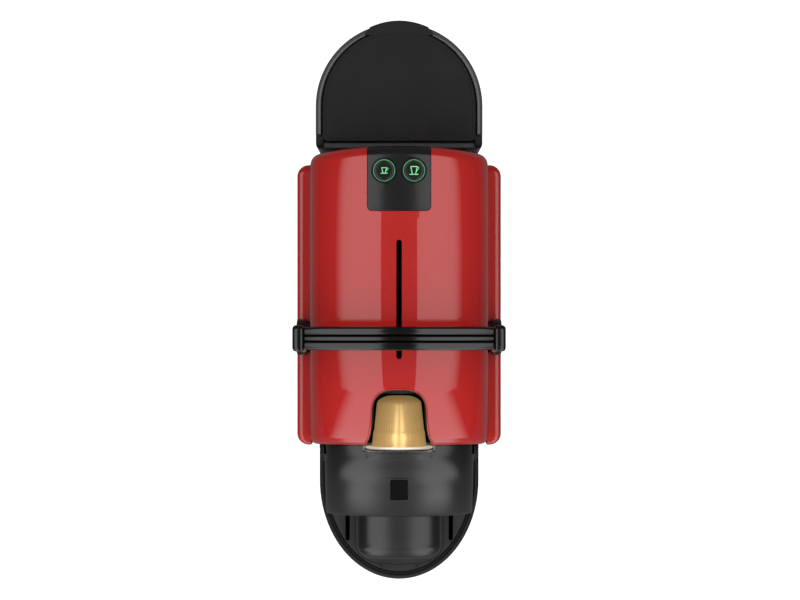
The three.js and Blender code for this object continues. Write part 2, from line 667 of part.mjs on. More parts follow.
function makeBin() {
  const box = block(-BIN.halfWidth, BIN.halfWidth, BIN.front + 4, BIN.rear, BIN.bottom, BIN.top - 1);
  const face = prism(
    outline([
      [-BIN.face, TRAY.rear - GAP], [-BIN.face, BIN.front, 4],
      [BIN.face, BIN.front, 4], [BIN.face, TRAY.rear - GAP],
    ]), 'z', TRAY.top + 0.8, BIN.top, 4,
  );
  const halfInside = BIN.halfWidth - WALL;
  const floor = BIN.bottom + 2.2;
  const inside = block(
    -halfInside, halfInside, BIN.front + 2.4, BIN.rear - WALL, floor + 7, BIN.top + 1,
  );
  const well = block(-halfInside, halfInside, TRAY.rear + 3, BIN.rear - WALL, floor, BIN.top + 1);
  const keepClear = block(-60, 60, -100, TRAY.rear + 1.4, 0, TRAY.top + 0.8);
  add('capsule_bin', cut(join(cut(box, keepClear), face), inside, well), FINISH.black());
}

// ---------------------------------------------------------------- chassis, base, frame and covers

const SCREWS = [[39.2, 10], [-39.2, 10], [39.2, 70], [-39.2, 70]];

function makeChassis() {
  const wall = (side) => {
    const outlineSide = outline([
      [BAY.front, 7.8], [BAY.rear, 7.8], [BAY.rear, BAY.shoulder], [75, BAY.shoulder], [75, 168],
      [PIVOT.y + 20, 168], [PIVOT.y + 12, 188, 4], [PIVOT.y - 12, 188, 4], [PIVOT.y - 20, 168],
      [-70.4, 168], [-70.4, BAY.shoulder], [BAY.front, BAY.shoulder],
    ]);
    const plate = prism(outlineSide, 'x', BAY.wallInner, BAY.wallOuter, 4);
    return side > 0 ? plate : mirrored(plate);
  };
  const half = BAY.wallInner + 1;
  const bosses = SCREWS.map(([x, y]) => join(
    round(4, 'z', 7.8, 20, [x, y, 0], 0, 12),
    block(x > 0 ? x : -half, x > 0 ? half : x, y - 1.5, y + 1.5, 7.8, 20),
  ));
  const body = join(
    wall(1), wall(-1),
    block(-half, half, BAY.bulkhead, BAY.bulkhead + 2.2, 7.8, BAY.shelf + 1),
    block(-half, half, BAY.rear - 2.2, BAY.rear, 7.8, BAY.shoulder),
    block(-half, half, BAY.front, BAY.rear, BAY.shelf, BAY.shelf + 2.5),
    ...bosses,
  );
  const drop = block(-21, 21, -72, -28, 100, 120);
  const hoseHole = block(-24, -8, -1, 20, 100, 120);
  const lowDoor = block(-14, 14, BAY.rear - 4, BAY.rear + 2, 0, 20);
  const bushHoles = round(6.8, 'x', -60, 60, [0, PIVOT.y, PIVOT.z]);
  const screwBores = SCREWS.map(([x, y]) => round(1.8, 'z', 0, 18, [x, y, 0], 0, 10));
  add('chassis', cut(body, drop, hoseHole, lowDoor, bushHoles, ...screwBores), FINISH.black());
}

function makeCovers() {
  const rear = cut(
    common(prism(bodyPlan(0), 'z', 8.2, BODY.skirt - 0.4, 4), block(-60, 60, BAY.rear + 0.4, 100, 0, 200)),
    prism(bodyPlan(WALL), 'z', 0, 200, 4),
    block(-14, 14, 70, 100, 0, 20),
  );
  add('rear_cover', rear, FINISH.black());

  const foot = BIN.face;
  const crest = HEAD.halfWidth + 2.6;
  const frame = cut(
    prism(outline([
      [-foot, 8.2, 3], [foot, 8.2, 3], [foot, 108, 2], [crest, 112, 2],
      [crest, 174, 3], [-crest, 174, 3], [-crest, 112, 2], [-foot, 108, 2],
    ]), 'y', -80, HEAD.rear, 3),
    block(-43.4, 43.4, -90, -60, 0, 105.6),
    block(-HEAD.halfWidth - 0.4, HEAD.halfWidth + 0.4, -90, -60, HEAD.bottom - GAP, 200),
  );
  add('front_frame', frame, FINISH.black());
}

function makeBase() {
  const seatInset = 1.7;
  const corner = 1.5;
  const floorPlan = rectangle(-BASE.halfWidth, BASE.halfWidth, BASE.front, 87.6, corner);
  const floor = join(
    prism(floorPlan, 'z', BASE.bottom, BASE.top, 4),
    prism(tankPlan(seatInset), 'z', BASE.bottom, BASE.top, 10),
    block(-40, 40, 80, 100, BASE.bottom, BASE.top),
  );
  const seat = cut(
    prism(tankPlan(seatInset), 'z', BASE.top - 1, BASE.seat, 10),
    prism(tankPlan(seatInset + 2.5), 'z', BASE.top - 2, BASE.seat + 1, 10),
    block(-17, 17, 80, 96, BASE.top, BASE.seat + 1),
  );
  const glandHole = round(5, 'y', 140, 170, [0, 0, 12]);
  const screwHoles = SCREWS.map(([x, y]) => round(3.4, 'z', 0, 6.2, [x, y, 0], 0, 16));
  const shankHoles = SCREWS.map(([x, y]) => round(1.9, 'z', 5, 10, [x, y, 0], 0, 10));
  const plate = cut(join(floor, cut(seat, glandHole)), ...screwHoles, ...shankHoles);
  add('base_plate', plate, FINISH.black());

  SCREWS.forEach(([x, y], i) => {
    const screw = join(
      round(3, 'z', 4.3, 5.9, [x, y, 0], 0, 12),
      round(1.5, 'z', 5, 16, [x, y, 0], 0, 8),
    );
    add(`base_screw_${i + 1}`, screw, FINISH.steel());
  });
  const footPlaces = {
    front_left: [-36, -64], front_right: [36, -64], rear_left: [-30, 128], rear_right: [30, 128],
  };
  for (const [name, [x, y]] of Object.entries(footPlaces)) {
    const foot = turned([
      [0, 0], [FOOT.radius - 0.8, 0], [FOOT.radius, 0.8], [FOOT.radius, FOOT.height], [0, FOOT.height],
    ], 'z', [x, y, 0], 16);
    add(`foot_${name}`, foot, FINISH.rubber());
  }
  const gland = turned([
    [2.6, 144], [4.6, 144], [4.6, 151], [4.2, 157.6], [2.6, 157.6], [2.6, 144],
  ], 'y', [0, 0, 12], 20);
  add('cord_gland', gland, FINISH.rubber());
}

// ---------------------------------------------------------------- water tank

function makeTank() {
  const walls = cut(
    prism(tankPlan(0), 'z', TANK.bottom, TANK.top, 12),
    prism(tankPlan(WALL), 'z', TANK.bottom + 2.6, 157.1, 12),
    prism(tankPlan(TANK.rim), 'z', 157, TANK.top + 1, 12),
    round(6.9, 'z', 10, 30, [0, TANK.valveY, 0]),
    ...[1, -1].map((side) => (
      block(side * 45 - 3.4, side * 45 + 3.4, 88, 97, 159, 170)
    )),
  );
  add('water_tank', walls, FINISH.smoked());

  const overRim = TANK.top + GAP;
  const knuckle = join(
    round(2.7, 'x', 42, 45.7, [0, 92.2, 162.7], 0, 16),
    block(42, 45.7, 92.2, 95.8, 160.2, 165.4),
  );
  const lipEdge = [1, 0.95, 0.7, 0.4, 0, -0.4, -0.7, -0.95, -1].map((share) => [
    LID.lip * share, LID.reach - LID.lipBow * share ** 2 - (Math.abs(share) === 1 ? 1.2 : 0),
  ]);
  const lip = prism(
    outline([[-LID.lip - 2, 150], [LID.lip + 2, 150], ...lipEdge]), 'z', overRim, LID.top, 5,
  );
  const plate = prism(tankPlan(LID.inset), 'z', LID.bottom, LID.top, 12);
  const hollow = prism(tankPlan(LID.inset + 2), 'z', LID.bottom - 1, overRim, 12);
  const lid = join(cut(plate, hollow), lip, knuckle, mirrored(knuckle));
  add('tank_lid', lid, FINISH.black());

  const valve = turned([
    [0, 11], [5.4, 11], [6.4, 12.5], [6.4, 21.3], [9.6, 21.3], [9.6, 23.4], [5, 23.4], [3.5, 33], [0, 33],
  ], 'z', [0, TANK.valveY, 0]);
  add('tank_valve', valve, FINISH.white());
  const connector = join(
    turned([
      [0, 7.7], [9.5, 7.7], [9.5, 17.6], [7.2, 17.6], [7.2, 9.8], [0, 9.8],
    ], 'z', [0, TANK.valveY, 0]),
    round(2.6, 'y', 90, TANK.valveY - 8, [0, 0, 12.5], 0, 12),
  );
  add('tank_connector', connector, FINISH.black());
}

// ---------------------------------------------------------------- water circuit and electrics

function makePump() {
  const centre = [PUMP.x, 0, PUMP.z];
  const nipple = 2.4;
  const pump = join(
    round(PUMP.radius, 'y', 0.5, 58, centre),
    round(nipple, 'y', 57, 62, centre, 0, 12),
    round(nipple, 'z', PUMP.z, 47, [PUMP.x, 4.5, 0], 0, 12),
  );
  add('pump_body', pump, FINISH.white());
  const bore = round(PUMP.radius + 0.4, 'y', -10, 80, centre);
  add('pump_coil', cut(block(PUMP.x - 18, PUMP.x + 18, 16, 50, 16, 52), bore), FINISH.copper());
  for (const [name, y] of [['front', 9], ['rear', 52]]) {
    const mount = cut(block(PUMP.x - 12, PUMP.x + 12, y, y + 4, BASE.top + GAP, 47), bore);
    add(`pump_mount_${name}`, mount, FINISH.rubber());
  }
}

function makeWaterPath() {
  const meter = join(
    round(12, 'z', BASE.top + GAP, 22, [24, 40, 0]),
    round(2.4, 'z', 21, 28, [24, 40, 0], 0, 12),
    round(2.4, 'y', 51, 55, [24, 0, 15], 0, 12),
  );
  add('flow_meter', meter, FINISH.white());

  const ribs = [18, 30, 42, 54].map((y) => block(-24, 24, y, y + 3, 116, 150));
  const heater = join(
    prism(rectangle(-22, 22, 12, 64, 6), 'z', 118, 148, 4),
    ...ribs,
    round(2.4, 'z', 112.5, 120, [-12, 16, 0], 0, 12),
    block(-20, -14, 20, 56, BAY.shelf + 2.8, 119),
    block(14, 20, 20, 56, BAY.shelf + 2.8, 119),
  );
  add('thermoblock', heater, FINISH.cast());

  const radius = 2.3;
  add('hose_tank_to_meter', hose(
    [[0, 89.7, 12.5], [0.5, 82, 12.5], [8, 70, 13], [20, 66, 14.5], [24, 60, 15], [24, 55.4, 15]], radius,
  ), FINISH.silicone());
  add('hose_meter_to_pump', hose(
    [
      [24, 40, 28.4], [24, 40.3, 33], [23, 46, 39], [19, 58, 41], [4, 69.5, 38], [-9, 71.5, 35],
      [-13.8, 67.5, 34], [-14, 62.3, 34],
    ],
    radius,
  ), FINISH.silicone());
  add('hose_pump_to_heater', hose(
    [
      [-14, 4.5, 47.3], [-14, 4.6, 56], [-18, 4, 78], [-17, 6, 98], [-12, 15.6, 106],
      [-12, 16, 109], [-12, 16, 112],
    ],
    radius,
  ), FINISH.silicone());
}

function makeElectrics() {
  const board = join(
    block(-42.8, -41.2, 8, 70, 56, 104),
    block(-42, -34, 14, 30, 78, 96),
    block(-42, -36, 36, 48, 84, 98),
    block(-42, -38, 40, 60, 62, 72),
  );
  add('control_board', board, FINISH.board());
  add('inner_mains_lead', hose(
    [[0, 143.6, 12], [-8, 134, 11.5], [-19, 118, 11], [-19, 102, 11], [-9, 88, 11.5], [-9, 77, 12],
      [-24, 70, 13], [-37, 62, 22], [-38.6, 54, 42], [-39, 52, 50], [-39, 52, 55.6]],
    1.9, 20,
  ), FINISH.rubber());
}

makeBase();
makeChassis();
makeCovers();
makeTopShell();
makeSidePanels();
makeControlPanel();
makeLever();
makeAxles();
makeBrewUnit();
makeSlotLiner();
makeCapsule();
makeHead();
makeOutlet();
makeTray();
makeBin();
makeTank();
makePump();
makeWaterPath();
makeElectrics();

export default machine;
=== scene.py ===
# %% [markdown]
# # A slim pod coffee machine
#
# The real machine is a row of moulded covers on a hidden chassis: a glossy red crown, two red side
# skins, a satin head with a nose above the cup tray, a smoked water tank at the back, and a black
# lever that arches over everything. The mechanism, its sizes and its joints come from the packed
# frame. This script dresses it: each visible cover is remodelled with soft edges and thin walls,
# and every part that stays as it is gets a proper finish.

# %% Load the frame
import math

import bmesh
import bpy
from mathutils import Matrix, Vector
from mathutils.geometry import interpolate_bezier


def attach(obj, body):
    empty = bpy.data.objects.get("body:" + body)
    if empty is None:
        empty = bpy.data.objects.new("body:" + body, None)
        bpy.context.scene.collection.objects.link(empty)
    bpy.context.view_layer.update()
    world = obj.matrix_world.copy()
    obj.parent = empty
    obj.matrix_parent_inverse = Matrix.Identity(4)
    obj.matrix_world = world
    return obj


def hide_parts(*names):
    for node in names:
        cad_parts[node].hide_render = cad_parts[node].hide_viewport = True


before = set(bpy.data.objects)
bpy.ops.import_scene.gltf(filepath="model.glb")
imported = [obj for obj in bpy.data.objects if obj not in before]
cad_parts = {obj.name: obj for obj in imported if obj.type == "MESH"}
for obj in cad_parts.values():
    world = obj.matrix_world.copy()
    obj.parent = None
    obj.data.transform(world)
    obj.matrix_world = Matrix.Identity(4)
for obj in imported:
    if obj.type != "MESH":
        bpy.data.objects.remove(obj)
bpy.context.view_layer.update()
MM = 0.001

# %% [markdown]
# ## The camera
#
# The machine is looked at from straight above, like a plan drawing. A long lens two metres up keeps
# the sides from spreading, so only a trace of the side skins shows. The camera could stand on a
# track-to constraint, but a camera that isn't turned at all already looks down the Z axis.

# %% Camera
CAMERA_HEIGHT = 2.0
LENS = 149.3
scene = bpy.context.scene
camera_data = bpy.data.cameras.new("plan_camera")
camera_data.lens = LENS
camera_data.sensor_width = 36
camera = bpy.data.objects.new("plan_camera", camera_data)
camera.location = (0.0005, 0.0051, CAMERA_HEIGHT)
scene.collection.objects.link(camera)
scene.camera = camera
scene.view_settings.view_transform = "Standard"
print("camera", tuple(round(value, 4) for value in camera.location))

# %% [markdown]
# ## Helpers for meshes
#
# Every cover starts as a few points that an operator carries into a shape. `outline_face` lays a
# flat face and rounds its corners with the vertex bevel. `thicken` extrudes it. `loft` carries a
# chain of points from station to station with the edge extrude, which suits long mouldings whose
# section changes slowly. All of them work in millimetres, and `make_piece` turns the result to
# metres, points its faces outwards and hangs it on a body of the frame.

# %% Mesh helpers
AXES = {
    "x": lambda u, v, w: (w, u, v),
    "y": lambda u, v, w: (u, w, v),
    "z": lambda u, v, w: (u, v, w),
}


def bend(start, control, end, count=8):
    """Points of a smooth bend from start to end, pulled towards control."""
    a, c, b = (Vector((*point, 0)) for point in (start, control, end))
    points = interpolate_bezier(a, a.lerp(c, 2 / 3), b.lerp(c, 2 / 3), b, count)
    return [(point.x, point.y) for point in points]


def outline_face(bm, points, axis, level, segments=6):
    """Flat face through [u, v] points. A third number rounds that corner."""
    place = AXES[axis]
    verts = [bm.verts.new(place(point[0], point[1], level)) for point in points]
    bm.faces.new(verts)
    radii = {}
    for vert, point in zip(verts, points):
        if len(point) > 2 and point[2] > 0:
            radii.setdefault(point[2], []).append(vert)
    for radius, corners in radii.items():
        bmesh.ops.bevel(bm, geom=corners, offset=radius, offset_type="OFFSET", segments=segments,
                        profile=0.5, affect="VERTICES", material=-1)
    return list(bm.faces)


def thicken(bm, faces, axis, depth):
    """Extrudes flat faces along an axis and returns the moved faces."""
    made = bmesh.ops.extrude_face_region(bm, geom=faces)["geom"]
    verts = [item for item in made if isinstance(item, bmesh.types.BMVert)]
    bmesh.ops.translate(bm, verts=verts, vec=Vector(AXES[axis](0, 0, depth)))
    return [item for item in made if isinstance(item, bmesh.types.BMFace)]


def soften(bm, radius, angle=50, segments=3, where=lambda edge: True):
    """Rounds every edge that is sharper than an angle."""
    bmesh.ops.recalc_face_normals(bm, faces=bm.faces)
    sharp = [edge for edge in bm.edges if len(edge.link_faces) == 2
             and edge.calc_face_angle(0) > math.radians(angle) and where(edge)]
    bmesh.ops.bevel(bm, geom=sharp, offset=radius, offset_type="OFFSET", segments=segments,
                    profile=0.5, affect="EDGES", material=-1, clamp_overlap=True)


def slab(points, axis, low, high, edge=0.0, corner_steps=6, edge_steps=3, angle=50):
    """Prism of an outline between two levels, with its edges softened."""
    bm = bmesh.new()
    faces = outline_face(bm, points, axis, low, corner_steps)
    thicken(bm, faces, axis, high - low)
    if edge > 0:
        soften(bm, edge, angle, edge_steps)
    return bm


def loft(stations, closed=False):
    """Skin through stations of matching points, made by extruding the first chain of edges."""
    bm = bmesh.new()
    row = [bm.verts.new(point) for point in stations[0]]
    edges = [bm.edges.new(pair) for pair in zip(row, row[1:])]
    if closed:
        edges.append(bm.edges.new((row[-1], row[0])))
    for station in stations[1:]:
        made = bmesh.ops.extrude_edge_only(bm, edges=edges)["geom"]
        fresh = {item for item in made if isinstance(item, bmesh.types.BMVert)}
        edges = [item for item in made if isinstance(item, bmesh.types.BMEdge)
                 and item.verts[0] in fresh and item.verts[1] in fresh]
        row = [next(edge.other_vert(vert) for edge in vert.link_edges
                    if edge.other_vert(vert) in fresh) for vert in row]
        for vert, point in zip(row, station):
            vert.co = point
    return bm


def close_ends(bm):
    """Closes every open loop with a flat face."""
    rims = [edge for edge in bm.edges if len(edge.link_faces) == 1]
    bmesh.ops.holes_fill(bm, edges=rims, sides=0)


def spin_profile(profile, axis, centre, steps=48):
    """Turned piece: [radius, height] points spun round an axis through a centre."""
    bm = bmesh.new()
    lay = {"x": lambda r, h: (h, r, 0), "y": lambda r, h: (r, h, 0), "z": lambda r, h: (r, 0, h)}
    verts = [bm.verts.new(lay[axis](*point)) for point in profile]
    edges = [bm.edges.new(pair) for pair in zip(verts, verts[1:])]
    direction = {"x": (1, 0, 0), "y": (0, 1, 0), "z": (0, 0, 1)}[axis]
    bmesh.ops.spin(bm, geom=verts + edges, cent=(0, 0, 0), axis=direction,
                   angle=math.tau, steps=steps, use_merge=True)
    bmesh.ops.remove_doubles(bm, verts=bm.verts, dist=0.001)
    bmesh.ops.recalc_face_normals(bm, faces=bm.faces)
    bmesh.ops.translate(bm, verts=bm.verts, vec=centre)
    return bm


def merge(*meshes):
    """Puts several meshes into one."""
    total = bmesh.new()
    for bm in meshes:
        holder = bpy.data.meshes.new("holder")
        bm.to_mesh(holder)
        bm.free()
        total.from_mesh(holder)
        bpy.data.meshes.remove(holder)
    return total


def flip_copy(bm):
    """Mirror image alone, for the left-hand twin of a right-hand piece."""
    twin = bm.copy()
    bmesh.ops.scale(twin, vec=(-1, 1, 1), verts=twin.verts)
    bmesh.ops.reverse_faces(twin, faces=twin.faces)
    return twin


def make_object(name, bm, recalc=True):
    """Mesh in millimetres to an object in metres, smooth except at its sharp edges."""
    bmesh.ops.remove_doubles(bm, verts=bm.verts, dist=0.002)
    if recalc:
        bmesh.ops.recalc_face_normals(bm, faces=bm.faces)
    bmesh.ops.scale(bm, vec=(MM, MM, MM), verts=bm.verts)
    mesh = bpy.data.meshes.new(name)
    bm.to_mesh(mesh)
    bm.free()
    obj = bpy.data.objects.new(name, mesh)
    scene.collection.objects.link(obj)
    return obj


def smooth_sides(obj, angle=35):
    """Smooth shading that breaks at edges sharper than an angle."""
    obj.data.polygons.foreach_set("use_smooth", [True] * len(obj.data.polygons))
    obj.data.set_sharp_from_angle(angle=math.radians(angle))


def carve(obj, tools, operation="DIFFERENCE"):
    """Cuts an object with closed tool meshes and keeps the result as its mesh."""
    helpers = [make_object("tool", bm) for bm in tools]
    for helper in helpers:
        cut = obj.modifiers.new("cut", "BOOLEAN")
        cut.operation = operation
        cut.solver = "EXACT"
        cut.object = helper
    bake_modifiers(obj)
    for helper in helpers:
        bpy.data.meshes.remove(helper.data)


def bake_modifiers(obj):
    """Replaces an object's mesh by what its modifiers make."""
    bpy.context.view_layer.update()
    graph = bpy.context.evaluated_depsgraph_get()
    result = bpy.data.meshes.new_from_object(obj.evaluated_get(graph))
    obj.modifiers.clear()
    old = obj.data
    obj.data = result
    bpy.data.meshes.remove(old)


def wall(obj, thickness, axis=2):
    """Gives an open skin its wall, inwards, after turning its faces outwards along an axis."""
    bm = bmesh.new()
    bm.from_mesh(obj.data)
    if max(bm.faces, key=lambda face: face.calc_center_median()[axis]).normal[axis] < 0:
        bmesh.ops.reverse_faces(bm, faces=bm.faces)
    bm.to_mesh(obj.data)
    bm.free()
    shell = obj.modifiers.new("wall", "SOLIDIFY")
    shell.thickness = thickness * MM
    shell.offset = -1
    shell.use_even_offset = True
    bake_modifiers(obj)


def hang(obj, material, body, slot, *nodes, angle=35):
    """Finish, body and frame nodes of a made piece."""
    obj.data.materials.clear()
    obj.data.materials.append(material)
    smooth_sides(obj, angle)
    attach(obj, body)
    if nodes:
        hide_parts(*nodes)
    print(f"{obj.name}: {len(obj.data.polygons)} faces on {body}")
    return obj


def make_piece(name, bm, material, body, slot, *nodes, angle=35, recalc=True):
    """A finished piece straight from a mesh."""
    return hang(make_object(name, bm, recalc), material, body, slot, *nodes, angle=angle)


print("helpers ready")

# %% [markdown]
# ## Shared effects
#
# Moulded plastic is never a single even colour. It has the grain of its mould, a gloss that hands
# and cloths have changed in places, and a little dust on what faces up. Each effect is one node
# group with its own inputs, so that every finish can use it with its own values.

# %% Node groups
def new_group(name, inputs, outputs):
    """Empty node group with named sockets, and its two end nodes."""
    group = bpy.data.node_groups.new(name, "ShaderNodeTree")
    for direction, sockets in (("INPUT", inputs), ("OUTPUT", outputs)):
        for socket_name, kind in sockets:
            group.interface.new_socket(socket_name, in_out=direction,
                                       socket_type=f"NodeSocket{kind}")
    return group, group.nodes.new("NodeGroupInput"), group.nodes.new("NodeGroupOutput")


def add_node(tree, kind, links=(), **settings):
    """Node with its settings, fed by (input, value or socket) pairs."""
    node = tree.nodes.new(kind)
    for key, value in settings.items():
        setattr(node, key, value)
    for key, value in links:
        if isinstance(value, bpy.types.NodeSocket):
            tree.links.new(value, node.inputs[key])
        else:
            node.inputs[key].default_value = value
    return node


def build_grain():
    """Fine pebble of a mould: coarse cells under a finer noise."""
    group, start, end = new_group("moulded_grain", [("Vector", "Vector"), ("Scale", "Float")],
                                  [("Height", "Float")])
    coarse = add_node(group, "ShaderNodeTexVoronoi",
                      [("Vector", start.outputs["Vector"]), ("Scale", start.outputs["Scale"])])
    fine_scale = add_node(group, "ShaderNodeMath", [(0, start.outputs["Scale"]), (1, 2.7)],
                          operation="MULTIPLY")
    fine = add_node(group, "ShaderNodeTexNoise",
                    [("Vector", start.outputs["Vector"]), ("Scale", fine_scale.outputs[0]),
                     ("Detail", 2.0)])
    both = add_node(group, "ShaderNodeMath",
                    [(0, coarse.outputs["Distance"]), (1, fine.outputs["Fac"])], operation="ADD")
    group.links.new(both.outputs[0], end.inputs["Height"])
    return group


def build_handling():
    """Gloss that drifts where hands and cloths have been."""
    group, start, end = new_group(
        "handling",
        [("Vector", "Vector"), ("Scale", "Float"), ("Smooth", "Float"), ("Worn", "Float")],
        [("Roughness", "Float")])
    patches = add_node(group, "ShaderNodeTexNoise",
                       [("Vector", start.outputs["Vector"]), ("Scale", start.outputs["Scale"]),
                        ("Detail", 3.0), ("Roughness", 0.6)])
    level = add_node(group, "ShaderNodeMapRange",
                     [("Value", patches.outputs["Fac"]), ("From Min", 0.3), ("From Max", 0.7),
                      ("To Min", start.outputs["Smooth"]), ("To Max", start.outputs["Worn"])])
    group.links.new(level.outputs["Result"], end.inputs["Roughness"])
    return group


def build_dust():
    """Colour that pales a little where dust can settle on an upward face."""
    group, start, end = new_group(
        "settled_dust", [("Vector", "Vector"), ("Colour", "Color"), ("Amount", "Float")],
        [("Colour", "Color")])
    facing = add_node(group, "ShaderNodeNewGeometry")
    split = add_node(group, "ShaderNodeSeparateXYZ", [(0, facing.outputs["Normal"])])
    upward = add_node(group, "ShaderNodeMapRange",
                      [("Value", split.outputs["Z"]), ("From Min", 0.5), ("From Max", 1.0)])
    specks = add_node(group, "ShaderNodeTexNoise",
                      [("Vector", start.outputs["Vector"]), ("Scale", 55.0), ("Detail", 6.0)])
    patchy = add_node(group, "ShaderNodeMath",
                      [(0, upward.outputs["Result"]), (1, specks.outputs["Fac"])],
                      operation="MULTIPLY")
    share = add_node(group, "ShaderNodeMath",
                     [(0, patchy.outputs[0]), (1, start.outputs["Amount"])], operation="MULTIPLY")
    blend = add_node(group, "ShaderNodeMix", data_type="RGBA")
    colour_inputs = [socket for socket in blend.inputs if socket.type == "RGBA"]
    group.links.new(share.outputs[0], blend.inputs["Factor"])
    group.links.new(start.outputs["Colour"], colour_inputs[0])
    colour_inputs[1].default_value = (0.42, 0.40, 0.37, 1)
    mixed = next(socket for socket in blend.outputs if socket.type == "RGBA")
    group.links.new(mixed, end.inputs["Colour"])
    return group


def build_brushing():
    """Fine parallel scratches: a noise squeezed along one direction."""
    group, start, end = new_group("brushing", [("Vector", "Vector"), ("Scale", "Float")],
                                  [("Height", "Float"), ("Streak", "Float")])
    streaks = add_node(group, "ShaderNodeTexNoise",
                       [("Vector", start.outputs["Vector"]), ("Scale", start.outputs["Scale"]),
                        ("Detail", 4.0), ("Roughness", 0.7)])
    level = add_node(group, "ShaderNodeMapRange",
                     [("Value", streaks.outputs["Fac"]), ("From Min", 0.3), ("From Max", 0.7)])
    group.links.new(streaks.outputs["Fac"], end.inputs["Height"])
    group.links.new(level.outputs["Result"], end.inputs["Streak"])
    return group


GRAIN = build_grain()
HANDLING = build_handling()
DUST = build_dust()
BRUSHING = build_brushing()
print("groups", [group.name for group in bpy.data.node_groups])

# %% [markdown]
# ## Finishes
#
# Two recipes cover nearly all parts. `plastic` is a coloured moulding with grain, handled gloss and
# dust. `metal` is a bright surface with brushing in one direction, and can carry a painted glow in
# its own colour. Both keep the shader in the material and set its even values on its own sockets.
# The gloss of the red covers comes from a clear coat over a slightly rougher colour, as on pressed
# and lacquered plastic.

# %% Material recipes
def new_material(name):
    """Empty material with a shader and the object's own coordinates."""
    material = bpy.data.materials.new(name)
    material.use_nodes = True
    tree = material.node_tree
    shader = tree.nodes["Principled BSDF"]
    place = add_node(tree, "ShaderNodeTexCoord").outputs["Object"]
    return material, tree, shader, place


def use_group(tree, group, place, **values):
    """Shared effect placed in a material, with its own values or colours."""
    node = add_node(tree, "ShaderNodeGroup", node_tree=group)
    tree.links.new(place, node.inputs["Vector"])
    for key, value in values.items():
        if isinstance(value, bpy.types.NodeSocket):
            tree.links.new(value, node.inputs[key])
        else:
            node.inputs[key].default_value = value
    return node


def add_bump(tree, shader, height, strength, distance):
    """Surface relief from a height."""
    bump = add_node(tree, "ShaderNodeBump",
                    [("Strength", strength), ("Distance", distance), ("Height", height)])
    tree.links.new(bump.outputs["Normal"], shader.inputs["Normal"])


def plastic(name, colour, smooth, worn, grain=900.0, relief=0.15, dust=0.05, coat=0.0,
            coat_roughness=0.04, specular=0.5, depth=0.0001):
    """Moulded plastic."""
    material, tree, shader, place = new_material(name)
    tint = add_node(tree, "ShaderNodeRGB")
    tint.outputs[0].default_value = (*colour, 1)
    dusty = use_group(tree, DUST, place, Colour=tint.outputs[0], Amount=dust)
    gloss = use_group(tree, HANDLING, place, Scale=22.0, Smooth=smooth, Worn=worn)
    pebble = use_group(tree, GRAIN, place, Scale=grain)
    tree.links.new(dusty.outputs["Colour"], shader.inputs["Base Color"])
    tree.links.new(gloss.outputs["Roughness"], shader.inputs["Roughness"])
    add_bump(tree, shader, pebble.outputs["Height"], relief, depth)
    shader.inputs["Specular IOR Level"].default_value = specular
    shader.inputs["Coat Weight"].default_value = coat
    shader.inputs["Coat Roughness"].default_value = coat_roughness
    return material


def metal(name, colour, dark, smooth, worn, stretch=(1, 1, 40), scale=60.0, relief=0.12,
          metallic=1.0, glow=0.0):
    """Metal with brushing, a drift of tone, and painted glow in its own colour when glow is set."""
    material, tree, shader, place = new_material(name)
    squeeze = add_node(tree, "ShaderNodeMapping", [("Vector", place)])
    squeeze.inputs["Scale"].default_value = stretch
    lines = use_group(tree, BRUSHING, squeeze.outputs["Vector"], Scale=scale)
    tone = add_node(tree, "ShaderNodeValToRGB")
    tone.color_ramp.elements[0].color = (*dark, 1)
    tone.color_ramp.elements[1].color = (*colour, 1)
    tree.links.new(lines.outputs["Streak"], tone.inputs["Fac"])
    gloss = add_node(tree, "ShaderNodeMapRange",
                     [("Value", lines.outputs["Streak"]), ("To Min", worn), ("To Max", smooth)])
    tree.links.new(tone.outputs["Color"], shader.inputs["Base Color"])
    tree.links.new(gloss.outputs["Result"], shader.inputs["Roughness"])
    add_bump(tree, shader, lines.outputs["Height"], relief, 0.00005)
    shader.inputs["Metallic"].default_value = metallic
    # Painted glow: the metal gives off light in its own colour, so a part that is no lamp looks
    # brighter.
    if glow > 0:
        tree.links.new(tone.outputs["Color"], shader.inputs["Emission Color"])
        shader.inputs["Emission Strength"].default_value = glow
    return material


print("recipes ready")

# %% Finishes of this machine
RED = plastic("red_gloss", (0.42, 0.011, 0.009), 0.26, 0.34, grain=420, relief=0.04, dust=0.01,
              coat=1.0, coat_roughness=0.02, specular=0.12)
SATIN = plastic("satin_cover", (0.010, 0.010, 0.010), 0.21, 0.26, grain=1500, relief=0.05, dust=0.0)
KEY_PLATE = plastic("key_plate", (0.010, 0.010, 0.011), 0.13, 0.17, grain=1700, relief=0.05,
                    dust=0.0, specular=0.35)
BLACK = plastic("black_plastic", (0.009, 0.009, 0.009), 0.42, 0.52, grain=1100, relief=0.20,
                dust=0.02, specular=0.3)
LEVER_BLACK = plastic("lever_black", (0.003, 0.003, 0.003), 0.08, 0.12, grain=1600, relief=0.02,
                      dust=0.0)
LID_BLACK = plastic("lid_black", (0.010, 0.010, 0.010), 0.55, 0.65, grain=1300, relief=0.25,
                    dust=0.01, specular=0.14)
BADGE = plastic("plain_plate_black", (0.003, 0.003, 0.003), 0.30, 0.40, grain=1200, relief=0.04,
                dust=0.0, specular=0.03)
RUBBER = plastic("foot_rubber", (0.018, 0.018, 0.018), 0.75, 0.90, grain=700, relief=0.35,
                 dust=0.10)
SILICONE = plastic("hose_silicone", (0.55, 0.55, 0.52), 0.45, 0.60, grain=600, relief=0.10,
                   dust=0.0)
NYLON = plastic("white_nylon", (0.62, 0.62, 0.58), 0.42, 0.55, grain=900, relief=0.15, dust=0.0)
BOARD = plastic("circuit_board", (0.015, 0.10, 0.045), 0.30, 0.45, grain=260, relief=0.20, dust=0.0,
                coat=0.3)
STEEL = metal("brushed_steel", (0.62, 0.62, 0.63), (0.45, 0.45, 0.46), 0.22, 0.38)
